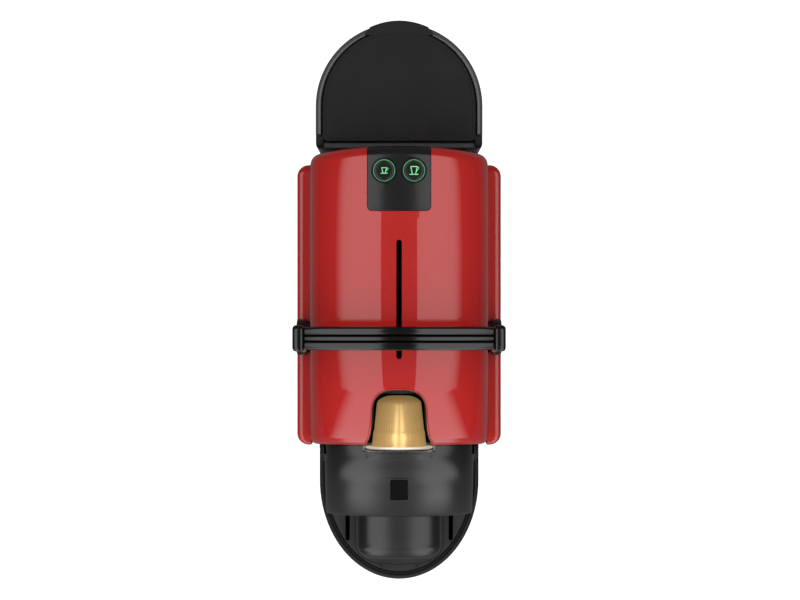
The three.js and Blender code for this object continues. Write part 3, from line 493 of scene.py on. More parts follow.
COPPER = metal("copper_winding", (0.62, 0.27, 0.12), (0.38, 0.14, 0.06), 0.25, 0.40,
               stretch=(1, 60, 1), scale=30.0, relief=0.4)
ALUMINIUM = metal("cast_aluminium", (0.55, 0.56, 0.57), (0.40, 0.41, 0.42), 0.40, 0.58,
                  stretch=(1, 1, 1), scale=900.0, relief=0.35)
# The capsule body and rim carry painted glow, which makes them look brighter than the lamps light
# them.
GOLD = metal("capsule_gold", (1.00, 0.65, 0.25), (0.97, 0.61, 0.22), 0.24, 0.28,
             stretch=(900, 25, 900), scale=1.0, relief=0.01, metallic=0.4, glow=0.2)
RIM = metal("capsule_rim", (1.00, 0.96, 0.86), (0.94, 0.88, 0.76), 0.30, 0.40,
            stretch=(1, 1, 1), scale=300.0, relief=0.02, metallic=0.1, glow=0.35)
FOIL = metal("capsule_foil", (0.80, 0.79, 0.76), (0.62, 0.61, 0.58), 0.28, 0.42,
             stretch=(1, 1, 1), scale=500.0, relief=0.15)


def glowing(name, colour, strength):
    """Light guide: translucent green plastic with a soft light behind it."""
    material, tree, shader, place = new_material(name)
    cloud = add_node(tree, "ShaderNodeTexNoise", [("Vector", place), ("Scale", 260.0)])
    ramp = add_node(tree, "ShaderNodeValToRGB")
    ramp.color_ramp.elements[0].position = 0.3
    ramp.color_ramp.elements[0].color = (*[value * 0.75 for value in colour], 1)
    ramp.color_ramp.elements[1].position = 0.7
    ramp.color_ramp.elements[1].color = (*colour, 1)
    tree.links.new(cloud.outputs["Fac"], ramp.inputs["Fac"])
    tree.links.new(ramp.outputs["Color"], shader.inputs["Base Color"])
    tree.links.new(ramp.outputs["Color"], shader.inputs["Emission Color"])
    shader.inputs["Emission Strength"].default_value = strength
    shader.inputs["Roughness"].default_value = 0.35
    return material


GLOW = glowing("button_light", (0.10, 0.42, 0.17), 0.6)
HALO = glowing("button_halo", (0.001, 0.004, 0.002), 0.2)
ICON = glowing("button_icon", (0.15, 0.62, 0.24), 0.8)


def smoked(name):
    """Smoked clear plastic of the tank: dark, glossy, and only slightly see-through."""
    material, tree, shader, place = new_material(name)
    swirl = use_group(tree, HANDLING, place, Scale=14.0, Smooth=0.05, Worn=0.11)
    tone = add_node(tree, "ShaderNodeTexNoise", [("Vector", place), ("Scale", 9.0)])
    ramp = add_node(tree, "ShaderNodeValToRGB")
    ramp.color_ramp.elements[0].color = (0.060, 0.061, 0.066, 1)
    ramp.color_ramp.elements[1].color = (0.085, 0.086, 0.090, 1)
    tree.links.new(tone.outputs["Fac"], ramp.inputs["Fac"])
    tree.links.new(ramp.outputs["Color"], shader.inputs["Base Color"])
    tree.links.new(swirl.outputs["Roughness"], shader.inputs["Roughness"])
    shader.inputs["IOR"].default_value = 1.49
    shader.inputs["Transmission Weight"].default_value = 0.25
    return material


SMOKED = smoked("smoked_tank")
print("finishes", len(bpy.data.materials))

# %% [markdown]
# ## Floor and light
#
# The machine stands on a plain white sweep. Two wide softboxes hang to the left and the right with
# a gap straight above, so a rounded glossy cover shows a dark band along its middle with a crisp
# edge, then a pale strip that fades towards the side. Upright softboxes in front do the same for
# the sloping head. Planes that give light are used instead of lamps, because their brightness can
# fade across the plane with a node.
#
# The floor is white to the camera only, or the sides of the covers would mirror it. Two pools of
# light run forwards on it, which carry the bands down the steep part of the head.

# %% Stage
def stage_plane(name, size, turn, place, material):
    """Rectangle that belongs to the studio and not to the machine."""
    bm = bmesh.new()
    bmesh.ops.create_grid(bm, x_segments=1, y_segments=1, size=0.5)
    bmesh.ops.scale(bm, vec=(size[0], size[1], 1), verts=bm.verts)
    bmesh.ops.transform(bm, matrix=Matrix.Translation(place) @ turn, verts=bm.verts)
    mesh = bpy.data.meshes.new(name)
    bm.to_mesh(mesh)
    bm.free()
    mesh.materials.append(material)
    plane = bpy.data.objects.new(name, mesh)
    scene.collection.objects.link(plane)
    return plane


def softbox_cloth(name, strength, near, far):
    """Glowing cloth whose light fades from one distance off the middle line to another."""
    material = bpy.data.materials.new(name)
    material.use_nodes = True
    tree = material.node_tree
    tree.nodes.clear()
    place = add_node(tree, "ShaderNodeTexCoord").outputs["Object"]
    split = add_node(tree, "ShaderNodeSeparateXYZ", [(0, place)])
    away = add_node(tree, "ShaderNodeMath", [(0, split.outputs["X"])], operation="ABSOLUTE")
    fade = add_node(tree, "ShaderNodeMapRange",
                    [("Value", away.outputs[0]), ("From Min", near), ("From Max", far),
                     ("To Min", strength), ("To Max", 0.0)], interpolation_type="SMOOTHSTEP")
    glow = add_node(tree, "ShaderNodeEmission", [("Strength", fade.outputs["Result"])])
    end = add_node(tree, "ShaderNodeOutputMaterial")
    tree.links.new(glow.outputs["Emission"], end.inputs["Surface"])
    return material


FLOOR_GLOW, POOL_GLOW = 1.1, 1.6
floor_material, floor_tree, floor_shader, floor_place = new_material("white_sweep")
floor_shader.inputs["Base Color"].default_value = (0.16, 0.16, 0.16, 1)
floor_shader.inputs["Emission Color"].default_value = (1, 1, 1, 1)
floor_shader.inputs["Roughness"].default_value = 0.9
floor_shader.inputs["Specular IOR Level"].default_value = 0.1


def floor_math(operation, first, second=0.0):
    """One sum in the floor's material."""
    return add_node(floor_tree, "ShaderNodeMath", [(0, first), (1, second)],
                    operation=operation).outputs[0]


def floor_fade(value, start, end, low=0.0, high=1.0):
    """Soft step in the floor's material."""
    return add_node(floor_tree, "ShaderNodeMapRange",
                    [("Value", value), ("From Min", start), ("From Max", end), ("To Min", low),
                     ("To Max", high)], interpolation_type="SMOOTHSTEP").outputs["Result"]


floor_axes = add_node(floor_tree, "ShaderNodeSeparateXYZ", [(0, floor_place)])
ahead = floor_math("MULTIPLY", floor_axes.outputs["Y"], -1.0)
aside = floor_math("DIVIDE", floor_math("ABSOLUTE", floor_axes.outputs["X"]),
                   floor_math("MAXIMUM", floor_math("SUBTRACT", ahead, 0.1), 0.05))
pools = floor_math("MULTIPLY", floor_fade(aside, 0.05, 0.17), floor_fade(aside, 0.26, 0.46, 1, 0))
pools = floor_math("MULTIPLY", pools, floor_fade(ahead, 0.24, 0.55, 0, POOL_GLOW))
seen = add_node(floor_tree, "ShaderNodeLightPath").outputs["Is Camera Ray"]
glow = add_node(floor_tree, "ShaderNodeMix", [("Factor", seen), ("A", pools), ("B", FLOOR_GLOW)])
floor_tree.links.new(glow.outputs["Result"], floor_shader.inputs["Emission Strength"])
stage_plane("floor", (6, 6), Matrix.Identity(4), (0, 0, 0), floor_material)

ROOF = {"height": 1.5, "inner": 0.17, "outer": 1.75, "length": 3.2, "fade": 0.9,
        "strength": 2.1}
FRONT = {"y": -1.55, "outer": 1.3, "fade": 0.7, "strength": 2.2}
roof_cloth = softbox_cloth("roof_cloth", ROOF["strength"], ROOF["fade"], ROOF["outer"])
front_cloth = softbox_cloth("front_cloth", FRONT["strength"], FRONT["fade"],
                            FRONT["outer"])
over = Matrix.Rotation(math.pi, 4, "X")
upright = Matrix.Rotation(math.radians(-90), 4, "X")
for side, word in ((-1, "left"), (1, "right")):
    width = ROOF["outer"] - ROOF["inner"]
    middle = side * (ROOF["inner"] + width / 2)
    stage_plane(f"roof_softbox_{word}", (width, ROOF["length"]), over,
                (middle, 0, ROOF["height"]), roof_cloth).visible_camera = False
    for level, inner, low, high in (("low", 0.12, 0.02, 0.60), ("high", 0.19, 0.60, 1.5)):
        place = (side * (inner + FRONT["outer"]) / 2, FRONT["y"], (low + high) / 2)
        stage_plane(f"front_softbox_{level}_{word}", (FRONT["outer"] - inner, high - low), upright,
                    place, front_cloth).visible_camera = False

AIR_LIGHT = 0.12
world = bpy.data.worlds.new("studio_air")
world.use_nodes = True
world.node_tree.nodes["Background"].inputs["Color"].default_value = (1, 1, 1, 1)
looked_at = add_node(world.node_tree, "ShaderNodeLightPath").outputs["Is Camera Ray"]
air = add_node(world.node_tree, "ShaderNodeMix",
               [("Factor", looked_at), ("A", AIR_LIGHT), ("B", 1.0)])
world.node_tree.links.new(air.outputs["Result"],
                          world.node_tree.nodes["Background"].inputs["Strength"])
scene.world = world

# %% [markdown]
# ## Red crown cover
#
# The biggest moulding is a long arched cover: a superellipse section that slides down a gentle
# crown line towards the front, with rolled front and rear edges. A subdivision cage would need many
# creases to hold that section. Lofting the exact arch from station to station keeps it true, and
# the mouth for the capsule, the slit and the opening for the keys are cut afterwards.

# %% Crown sizes
CROWN = {"front": -74, "rear": 88.1, "half": 48.2, "rise": 26, "power": 2.4, "skirt": 150,
         "top": 229.5, "top_at": 25, "front_drop": 28, "rear_drop": 7.5, "front_edge": 5,
         "rear_edge": 6, "wall": 2}


def crown_height(y):
    """Height of the crown line above the table."""
    front = y < CROWN["top_at"]
    span = (CROWN["front"] if front else CROWN["rear"]) - CROWN["top_at"]
    drop = CROWN["front_drop"] if front else CROWN["rear_drop"]
    return CROWN["top"] - drop * ((y - CROWN["top_at"]) / span) ** (3 if front else 2)


def arch(half, crown, rise, bottom, y, bow=0.0, steps=26):
    """Points over an arch from its left foot to its right foot."""
    points = [(-half, y - bow, bottom)]
    for step in range(steps + 1):
        angle = math.pi * (1 - step / steps)
        across = math.copysign(abs(math.cos(angle)) ** (2 / CROWN["power"]), math.cos(angle))
        up = math.sin(angle) ** (2 / CROWN["power"])
        points.append((half * across, y - bow * across ** 2, crown - rise + rise * up))
    return points + [(half, y - bow, bottom)]


def crown_stations(inset=0.0):
    """Arches of the crown cover from its doorway at the front to its closed rear wall."""
    half, rise, skirt = CROWN["half"] - inset, CROWN["rise"], CROWN["skirt"]
    front, rear = CROWN["front"], CROWN["rear"]
    edge, back = CROWN["front_edge"], CROWN["rear_edge"]
    lip = crown_height(front) - edge
    stations = [arch(43, lip - 5, 20, skirt, front), arch(half - 3, lip, rise, skirt, front)]
    turns = 6
    for turn in range(1, turns):
        angle = math.pi / 2 * turn / turns
        along, down = edge * (1 - math.cos(angle)), edge * (1 - math.sin(angle))
        corner = max(0.0, 3 - along)
        narrow = 3 - math.sqrt(9 - corner ** 2)
        stations.append(arch(half - narrow, crown_height(front + along) - down, rise, skirt,
                             front + along))
    first, last, spans = front + edge, rear - back, 26
    for span in range(spans + 1):
        share = span / spans
        y = first + (last - first) * share
        stations.append(arch(half, crown_height(y), rise, skirt, y, 3.5 * share ** 6))
    corner = bend((48.2, rear - 9.5), (47.8, rear - 4.2), (42.2, rear - 3.3), turns + 1)
    for turn in range(1, turns + 1):
        angle = math.pi / 2 * (1 - turn / turns)
        y = rear - back * (1 - math.cos(angle))
        down = back * (1 - math.sin(angle))
        side, side_y = corner[turn]
        stations.append(arch(side - inset, crown_height(y) - down, rise, skirt, y, y - side_y))
    stations.append([(x, y, skirt) for x, y, z in stations[-1]])
    return stations


def block(low, high, edge=0.0):
    """Plain block between two corners, for cutting."""
    bm = bmesh.new()
    bmesh.ops.create_cube(bm, size=1)
    size = [b - a for a, b in zip(low, high)]
    bmesh.ops.scale(bm, vec=size, verts=bm.verts)
    bmesh.ops.translate(bm, verts=bm.verts, vec=[(a + b) / 2 for a, b in zip(low, high)])
    if edge > 0:
        soften(bm, edge)
    return bm


MOUTH_REVEAL = 0.9
PIVOT = {"y": -15.2, "z": 176}


def mouth_outline(grow=0.0):
    """Right half, then left half, of the arched mouth that a capsule drops through."""
    back, shoulder = -43.8 + grow, 13.9 + grow
    right = [(17 + grow, CROWN["front"] - 4)]
    right += bend((17 + grow, CROWN["front"] + 1), (14.9 + grow, -69), (14.3 + grow, -62), 6)
    right += bend((shoulder, -54.4), (shoulder - 0.4, back - 0.3), (2.5, back), 12)
    return right + [(-x, y) for x, y in reversed(right)]


KEYS = {"half": 16.9, "front": 53, "low": 205, "corner": 2.7, "gap": 0.3, "x": 8, "y": 74.5,
        "face": 224.7, "hole": 6.9}
SLIT = {"half": 1.5, "front": -26.5, "rear": 37.3}


def round_ended(u0, u1, v0, v1, radius):
    """Rectangle whose corners are rounded."""
    return [(u0, v0, radius), (u1, v0, radius), (u1, v1, radius), (u0, v1, radius)]


crown = make_object("crown_cover", loft(crown_stations()))
wall(crown, CROWN["wall"])
plate = crown.copy()
plate.data = crown.data.copy()
scene.collection.objects.link(plate)
key_half = KEYS["half"] + KEYS["gap"]
key_opening = [(-key_half, KEYS["front"] - KEYS["gap"], KEYS["corner"]),
               (key_half, KEYS["front"] - KEYS["gap"], KEYS["corner"]),
               (key_half, CROWN["rear"] + 8), (-key_half, CROWN["rear"] + 8)]
carve(crown, [
    slab(mouth_outline(MOUTH_REVEAL), "z", 180, 240),
    slab(round_ended(-SLIT["half"], SLIT["half"], SLIT["front"], SLIT["rear"],
                     SLIT["half"] - 0.01), "z", 205, 240),
    slab(key_opening, "z", KEYS["low"] - KEYS["gap"], 240),
    spin_profile([(0, -60), (5, -60), (5, 60), (0, 60)], "x",
                 (0, PIVOT["y"], PIVOT["z"]), 24),
])
hang(crown, RED, "root", "red_shell", "top_shell")

# %% [markdown]
# The mouth has a fine bead where the two halves of the mould meet. It is a small tube that follows
# the skin. A curve with a bevel would do it too, but a ring of points extruded along the path stays
# a mesh from the start.

# %% Bead round the mouth
def crown_surface(x, y):
    """Height of the crown's skin at a place in plan."""
    reach = max(0.0, 1 - (abs(x) / CROWN["half"]) ** CROWN["power"])
    return crown_height(y) - CROWN["rise"] * (1 - reach ** (1 / CROWN["power"]))


def tube(path, radius, sides=8):
    """Round bead along a path of points."""
    rings = []
    for index, point in enumerate(path):
        before, after = path[max(index - 1, 0)], path[min(index + 1, len(path) - 1)]
        along = (Vector(after) - Vector(before)).normalized()
        side = along.cross(Vector((0, 0, 1)))
        side = side.normalized() if side.length > 1e-6 else Vector((1, 0, 0))
        lift = side.cross(along)
        rings.append([Vector(point) + radius * (math.cos(math.tau * turn / sides) * side
                                                + math.sin(math.tau * turn / sides) * lift)
                      for turn in range(sides)])
    bm = loft(rings, closed=True)
    close_ends(bm)
    return bm


mouth_path = [(x, y, crown_surface(x, y) - 0.25)
              for x, y in mouth_outline(MOUTH_REVEAL + 0.25)[1:-1]]
make_piece("mouth_bead", tube(mouth_path, 0.45), RED, "root", "red_shell")

# %% [markdown]
# ## Key plate, glow rings and keys
#
# The dark plate continues the crown's skin, so it is cut out of a copy of the crown instead of
# being bent to fit. Each key is a low cap inside a ring of light. The cup signs are raised
# pictograms: a small cup and a large cup, each on its saucer.

# %% Key plate and keys
plate.name = "key_plate"
plate_outline = [(-KEYS["half"], KEYS["front"], KEYS["corner"]),
                 (KEYS["half"], KEYS["front"], KEYS["corner"]),
                 (KEYS["half"], CROWN["rear"] + 8), (-KEYS["half"], CROWN["rear"] + 8)]
carve(plate, [slab(plate_outline, "z", KEYS["low"], 240)], "INTERSECT")
carve(plate, [spin_profile([(0, 200), (KEYS["hole"], 200), (KEYS["hole"], 240), (0, 240)], "z",
                           (side * KEYS["x"], KEYS["y"], 0), 48) for side in (-1, 1)])
hang(plate, KEY_PLATE, "root", "satin_cover", "control_panel")


def cup_sign(tall):
    """Flat pictogram of a cup on a saucer, in the plane of the key."""
    wide, high = (3.9, 4.2) if tall else (3.0, 3.0)
    low = -high / 2
    stroke = 0.38
    outer = [(-wide / 2, high / 2), (-wide * 0.28, low), (wide * 0.28, low), (wide / 2, high / 2)]
    parts = [slab([outer[0], outer[1], (outer[1][0] + stroke, low + 0.1),
                   (outer[0][0] + stroke, high / 2)], "z", 0, 0.12)]
    parts.append(flip_copy(parts[0]))
    parts.append(slab([(-wide / 2, high / 2 - stroke), (wide / 2, high / 2 - stroke),
                       (wide / 2, high / 2), (-wide / 2, high / 2)], "z", 0, 0.12))
    saucer = wide * 0.62
    parts.append(slab(round_ended(-saucer, saucer, low - 0.35, low + 0.05, 0.18), "z", 0, 0.12))
    handle = [(wide / 2 - 0.2, high / 2 - 0.1, 0.06)]
    handle += [(wide / 2 + 0.75, high * 0.28, 0.06), (wide * 0.34, -high * 0.12, 0.06)]
    parts.append(tube(handle, 0.17, 6))
    return merge(*parts)


for side, word in ((-1, "small_cup"), (1, "large_cup")):
    centre = (side * KEYS["x"], KEYS["y"], KEYS["face"])
    guide = [(5.75, -6.2), (7.3, -6.2), (7.3, -5), (6.6, -5), (6.6, -2.8), (6.4, -2.5),
             (5.75, -2.5), (5.75, -6.2)]
    make_piece(f"light_guide_{word}", spin_profile(guide, "z", centre, 64), HALO, "root",
               "button_light", f"light_ring_{word}")
    lip = [(5.55, -1.9), (5.85, -1.9), (5.85, -1.0), (5.78, -0.9), (5.62, -0.9), (5.55, -1.0),
           (5.55, -1.9)]
    make_piece(f"glow_ring_{word}", spin_profile(lip, "z", centre, 64), GLOW, "root",
               "button_light")
    cap = [(0, -5.6), (5.35, -5.6), (5.35, -0.7), (5.25, -0.3), (4.95, -0.06), (4.4, -0.02),
           (2.5, 0.0), (0, 0.02)]
    make_piece(f"key_{word}", spin_profile(cap, "z", centre, 64), KEY_PLATE, f"button_{word}",
               "black_plastic", f"button_{word}")
    sign = cup_sign(word == "large_cup")
    bmesh.ops.translate(sign, verts=sign.verts, vec=(centre[0], centre[1] + 0.1, centre[2]))
    make_piece(f"sign_{word}", sign, ICON, f"button_{word}", "button_light")

# %% [markdown]
# ## Side skins
#
# A red skin covers each side of the chassis. It is a thick moulding with generous rounded ends and
# a tighter round along its top, seen almost edge on from above. A seat is cut in its top for the
# lever's hub. Two different rounds meet at each corner, so the skin is lofted from upright sections
# that shrink towards both ends, instead of being bevelled.

# %% Side skins
SKIN = {"inner": 48.6, "outer": 56.2, "front": -75, "rear": 79.8, "bottom": 10, "top": 171,
        "corner": 6.4, "edge": 2.6}
HUB = 10


def rounding(radius, away):
    """How far a round of some radius draws a surface in, at a distance from its end."""
    short = max(0.0, radius - away)
    return radius - math.sqrt(radius * radius - short * short)


def skin_section(y):
    """Upright section of the right-hand skin: square inside, rounded outside."""
    away = min(y - SKIN["front"], SKIN["rear"] - y)
    draw_in = rounding(SKIN["corner"], away)
    outer, top, low = (SKIN["outer"] - draw_in, SKIN["top"] - 1 - draw_in, SKIN["bottom"] + draw_in)
    edge = min(SKIN["edge"], 0.45 * (outer - SKIN["inner"]))
    flat = outer - edge - 0.12 * (outer - SKIN["inner"])
    chain = [(flat, low), (SKIN["inner"], low), (SKIN["inner"], top), (flat, top)]
    chain += bend((outer - edge, top), (outer, top), (outer, top - edge), 6)
    chain += bend((outer, low + edge), (outer, low), (outer - edge, low), 6)
    return [(x, y, z) for x, z in chain]


def side_skin():
    """Right-hand skin, before the hub's seat is cut."""
    turns = [SKIN["corner"] * (1 - math.cos(math.pi / 2 * turn / 8)) for turn in range(9)]
    places = [SKIN["front"] + turn for turn in turns]
    places += [SKIN["rear"] - turn for turn in reversed(turns)]
    bm = loft([skin_section(y) for y in places], closed=True)
    close_ends(bm)
    bmesh.ops.recalc_face_normals(bm, faces=bm.faces)
    return bm


def hub_seat(sign):
    """Tool that clears the lever's hub, open upwards."""
    disc = spin_profile([(0, 40), (HUB + 0.6, 40), (HUB + 0.6, 60), (0, 60)], "x",
                        (0, PIVOT["y"], PIVOT["z"]), 40)
    if sign < 0:
        disc = flip_copy(disc)
    return disc


for sign, word in ((1, "right"), (-1, "left")):
    shape = side_skin()
    skin = make_object(f"side_skin_{word}", shape if sign > 0 else flip_copy(shape))
    seat_sides = (40, 60) if sign > 0 else (-60, -40)
    opening = block((seat_sides[0], PIVOT["y"] - HUB - 0.6, PIVOT["z"]),
                    (seat_sides[1], PIVOT["y"] + HUB + 0.6, PIVOT["z"] + 20))
    carve(skin, [hub_seat(sign), opening])
    hang(skin, RED, "root", "red_shell", f"side_panel_{word}")

# %% [markdown]
# ## Lever
#
# The lever is a wrap-over handle: two arms on hubs, joined by an arched bar that follows the crown
# when the lever is shut. The bar's grip has three long ridges for the fingers. Its section is drawn
# once as a closed chain and lofted across the machine, sinking towards both arms. The arms are
# slabs whose edges are rounded by the edge bevel.

# %% Lever arms and hubs
LEVER = {"reach": 72, "bow": 8, "deep": 13, "wide": 12.6, "inner": 50.2, "outer": 56.5}
BAR_Z = PIVOT["z"] + LEVER["reach"]


def sink(x):
    """How far the bar has sunk below its middle."""
    return LEVER["bow"] * (x / LEVER["inner"]) ** 2


def lever_arm():
    """Right arm with its flared head."""
    low = BAR_Z - LEVER["deep"] / 2 - LEVER["bow"]
    high = BAR_Z + LEVER["deep"] / 2 - LEVER["bow"] + 0.4
    y = PIVOT["y"]
    side = [(y - 5.5, PIVOT["z"]), (y + 5.5, PIVOT["z"]), (y + 5.5, low - 10, 5), (y + 7, low, 3),
            (y + 7, high, 3.5), (y - 7, high, 3.5), (y - 7, low, 3), (y - 5.5, low - 10, 5)]
    return slab(side, "x", LEVER["inner"], LEVER["outer"], edge=1.9, edge_steps=5)


def lever_hub():
    """Stepped disc that turns in the seat of the side skin."""
    inner, outer = LEVER["inner"], LEVER["outer"] - 0.3
    profile = [(0, inner), (HUB - 0.5, inner), (HUB, inner + 0.5), (HUB, outer - 1.1),
               (HUB - 0.4, outer - 0.3), (HUB - 1.2, outer), (7.4, outer), (7.0, outer - 0.5),
               (6.6, outer), (0, outer)]
    return spin_profile(profile, "x", (0, PIVOT["y"], PIVOT["z"]), 56)


def bar_core():
    """Inner bar between the arms, hidden by the grip."""
    core, y = 3.5, PIVOT["y"]
    stations = []
    steps = 16
    for step in range(steps + 1):
        x = (LEVER["inner"] + 1) * (2 * step / steps - 1)
        z = BAR_Z - sink(x)
        stations.append([(x, y - core, z - core), (x, y + core, z - core),
                         (x, y + core, z + core), (x, y - core, z + core)])
    bm = loft(stations, closed=True)
    close_ends(bm)
    return bm


right_side = merge(lever_arm(), lever_hub())
make_piece("lever_frame", merge(right_side.copy(), flip_copy(right_side), bar_core()), LEVER_BLACK,
           "lever", "lever_black", "lever")
right_side.free()

# %% Ridged grip
RIDGES = [(-6.3, -1.75), (-1.35, 1.35), (1.75, 6.3)]


def grip_section():
    """Closed chain round the grip: three ridges on top, rounded flanks, flat underneath."""
    top, low, half = LEVER["deep"] / 2, -LEVER["deep"] / 2, LEVER["wide"] / 2
    groove, crest_steps = top - 1.5, 7
    points = bend((-half, low + 3), (-half, low), (-half + 3, low), 5)
    points += bend((half - 3, low), (half, low), (half, low + 3), 5)
    for start, end in reversed(RIDGES):
        outer_right, outer_left = end == half, start == -half
        right_foot = top - 3.2 if outer_right else groove
        left_foot = top - 3.2 if outer_left else groove
        middle = (start + end) / 2
        reach = (end - start) / 2
        for step in range(crest_steps + 1):
            angle = math.pi * step / crest_steps
            across = math.copysign(abs(math.cos(angle)) ** 0.75, math.cos(angle))
            foot = right_foot if across > 0 else left_foot
            rise = (top - foot) * math.sin(angle) ** 0.75
            points.append((middle + reach * across, foot + rise))
        if not outer_left:
            points.append((start - 0.2, groove - 0.5))
    return points


grip_stations = []
half_length, steps = LEVER["inner"] - 0.3, 28
for step in range(steps + 1):
    x = half_length * (2 * step / steps - 1)
    tuck = 1 - 0.06 * abs(x / half_length) ** 12
    grip_stations.append([(x, PIVOT["y"] + y * tuck, BAR_Z - sink(x) + z * tuck)
                          for y, z in grip_section()])
grip = loft(grip_stations, closed=True)
close_ends(grip)
make_piece("ridged_grip", grip, LEVER_BLACK, "lever", "lever_black", "lever_grip", angle=50)

# %% [markdown]
# ## Capsule
#
# The capsule waiting in the mouth is thin drawn aluminium: a stepped cup with a rolled shoulder, a
# narrow flange and a foil lid. A turned profile gives all of it, and the curl of the flange is a
# small round at its rim.

# %% Capsule
CAPSULE_CENTRE = (0, 0, 170)
cup_profile = [(0, -48.2), (4.6, -48.2), (5.4, -47.7), (6.4, -47.8), (8.4, -48.4), (10.4, -49.4)]
cup_profile += [(11.5, -50.3), (12.1, -51.4), (12.3, -52.6), (13.7, -66.0), (14.1, -67.4),
                (14.35, -68.2), (14.35, -69.4), (15.0, -75.0), (15.2, -75.4), (15.2, -76.5),
                (14.4, -76.5), (11.4, -52.2), (8.2, -49.3), (4.6, -48.9), (0, -48.9)]
# The gold body and the rim below carry painted glow from their finishes.
make_piece("capsule_body", spin_profile(cup_profile, "y", CAPSULE_CENTRE, 72), GOLD, "capsule",
           "capsule_gold", "capsule_cup", angle=50)
rim_profile = [(15.2, -75.5), (17.6, -75.5), (18.2, -75.45), (18.5, -75.8), (18.5, -76.2),
               (18.2, -76.6), (17.6, -76.6), (15.2, -76.6), (15.2, -75.5)]
make_piece("capsule_rim", spin_profile(rim_profile, "y", CAPSULE_CENTRE, 72), RIM, "capsule",
           "capsule_gold")
foil_profile = [(0, -76.9), (15.9, -76.9), (16.6, -76.85), (16.8, -77.0), (16.6, -77.15),
                (15.9, -77.2), (14.8, -77.05), (13.4, -77.2), (0, -77.2)]
make_piece("capsule_foil_lid", spin_profile(foil_profile, "y", CAPSULE_CENTRE, 72), FOIL, "capsule",
           "capsule_foil", "capsule_foil")

# %% [markdown]
# ## Head cover, name plate and nose
#
# In front of the crown the satin head falls away in a smooth curve, arched like the crown. A slot
# behind it lets the capsule's flange drop, and a small square plate is let into its slope. The nose
# under it hides the coffee spout. The head is lofted like the crown and given a wall. The nose is
# lofted too, from flat arches that narrow and sink towards its front.

# %% Head cover
HEAD = {"rear": -74.6, "front": -116, "half": 41, "rise": 20, "bottom": 108.2, "top": 190.4,
        "low": 149, "bend": 1.8, "wall": 2}


def head_height(y):
    """Height of the head's ridge line."""
    fall = ((HEAD["rear"] - y) / (HEAD["rear"] - HEAD["front"])) ** HEAD["bend"]
    return HEAD["low"] + (HEAD["top"] - HEAD["low"]) * (1 - fall)


def head_arch(y, inset=0.0, bow=0.0):
    """One arch of the head."""
    return arch(HEAD["half"] - inset, head_height(y) - inset, HEAD["rise"], HEAD["bottom"], y, bow)


spans = 24
head_stations = []
for span in range(spans + 1):
    share = span / spans
    y = HEAD["rear"] + (HEAD["front"] + 0.9 - HEAD["rear"]) * share
    head_stations.append(head_arch(y, 0.0, -1.1 * share ** 3))
head_stations.append(head_arch(HEAD["front"] + 0.3, 0.35, -1.1))
head_stations.append(head_arch(HEAD["front"], 1.1, -1.1))
head_stations.append([(x, y, HEAD["bottom"]) for x, y, z in head_stations[-1]])
head = make_object("head_cover_shell", loft(head_stations))
wall(head, HEAD["wall"])
badge_source = head.copy()
badge_source.data = head.data.copy()
scene.collection.objects.link(badge_source)
PLATE = {"half": 4.6, "deep": 5.5, "gap": 0.35, "y": -99.5}


def plate_plan(grow, radius):
    """Plan of the plain plate, drawn out by grow."""
    half, deep = PLATE["half"] + grow, PLATE["deep"] + grow
    return round_ended(-half, half, PLATE["y"] - deep, PLATE["y"] + deep, radius)


carve(head, [block((-19.75, -77.8, 172), (19.75, -70, 200)),
             slab(plate_plan(PLATE["gap"], 0.7), "z", 140, 200),
             block((-18, -120, 111), (18, -112, 125))])
hang(head, SATIN, "root", "satin_cover", "head_cover", angle=40)

# %% Plain square plate in the head
badge_source.name = "plain_plate"
carve(badge_source, [slab(plate_plan(0, 0.5), "z", 140, 200)], "INTERSECT")
hang(badge_source, BADGE, "root", "black_plastic", "badge")
plate_frame = []
for reach in (4.95, 5.15, 5.75, 5.95):
    lift = 0.30 if 5 < reach < 5.9 else -0.05
    ring = []
    for corner_x, corner_y in ((-1, -1), (1, -1), (1, 1), (-1, 1)):
        x, y = corner_x * reach, PLATE["y"] + corner_y * (reach + 0.9)
        ring.append((x, y, head_height(y) + lift))
    plate_frame.append(ring)
make_piece("plate_frame", loft(plate_frame, closed=True), SATIN, "root", "satin_cover")
seat_floor = [[(x, y, head_height(y) - 1.55) for x in (-5.6, 5.6)] for y in (-93, -99.5, -106)]
seat = loft(seat_floor)
bmesh.ops.solidify(seat, geom=seat.faces[:], thickness=0.5)
make_piece("plate_seat", seat, BLACK, "root", "black_plastic")
ledge_stations = []
for x in (-18, -17.4, -9, 0, 9, 17.4, 18):
    level = HEAD["rise"] * (1 - (1 - (abs(x) / HEAD["half"]) ** CROWN["power"])
                            ** (1 / CROWN["power"]))
    rise = 0.02 if abs(x) == 18 else 0.28
    ledge_stations.append([(x, y, head_height(y) - level + lift)
                           for y, lift in ((-78.6, 0.0), (-79, rise), (-81.6, rise), (-82, 0.0))])
make_piece("head_ledge", loft(ledge_stations), SATIN, "root", "satin_cover")

# %% Nose over the spout
NOSE = {"rear": -116.4, "front": -142, "half": 23.8, "bottom": 106, "top": 128, "brow": -124,
        "rise": 9, "corner": 8, "chin": 10, "spout": -129}


def nose_height(y):
    """Ridge line of the nose: nearly level, then rolling down to its front."""
    slope = (NOSE["rear"] - y) * 0.2 if y > NOSE["brow"] else 1.5 + (NOSE["brow"] - y) * 0.14
    return NOSE["top"] - slope - rounding(NOSE["chin"], y - NOSE["front"])


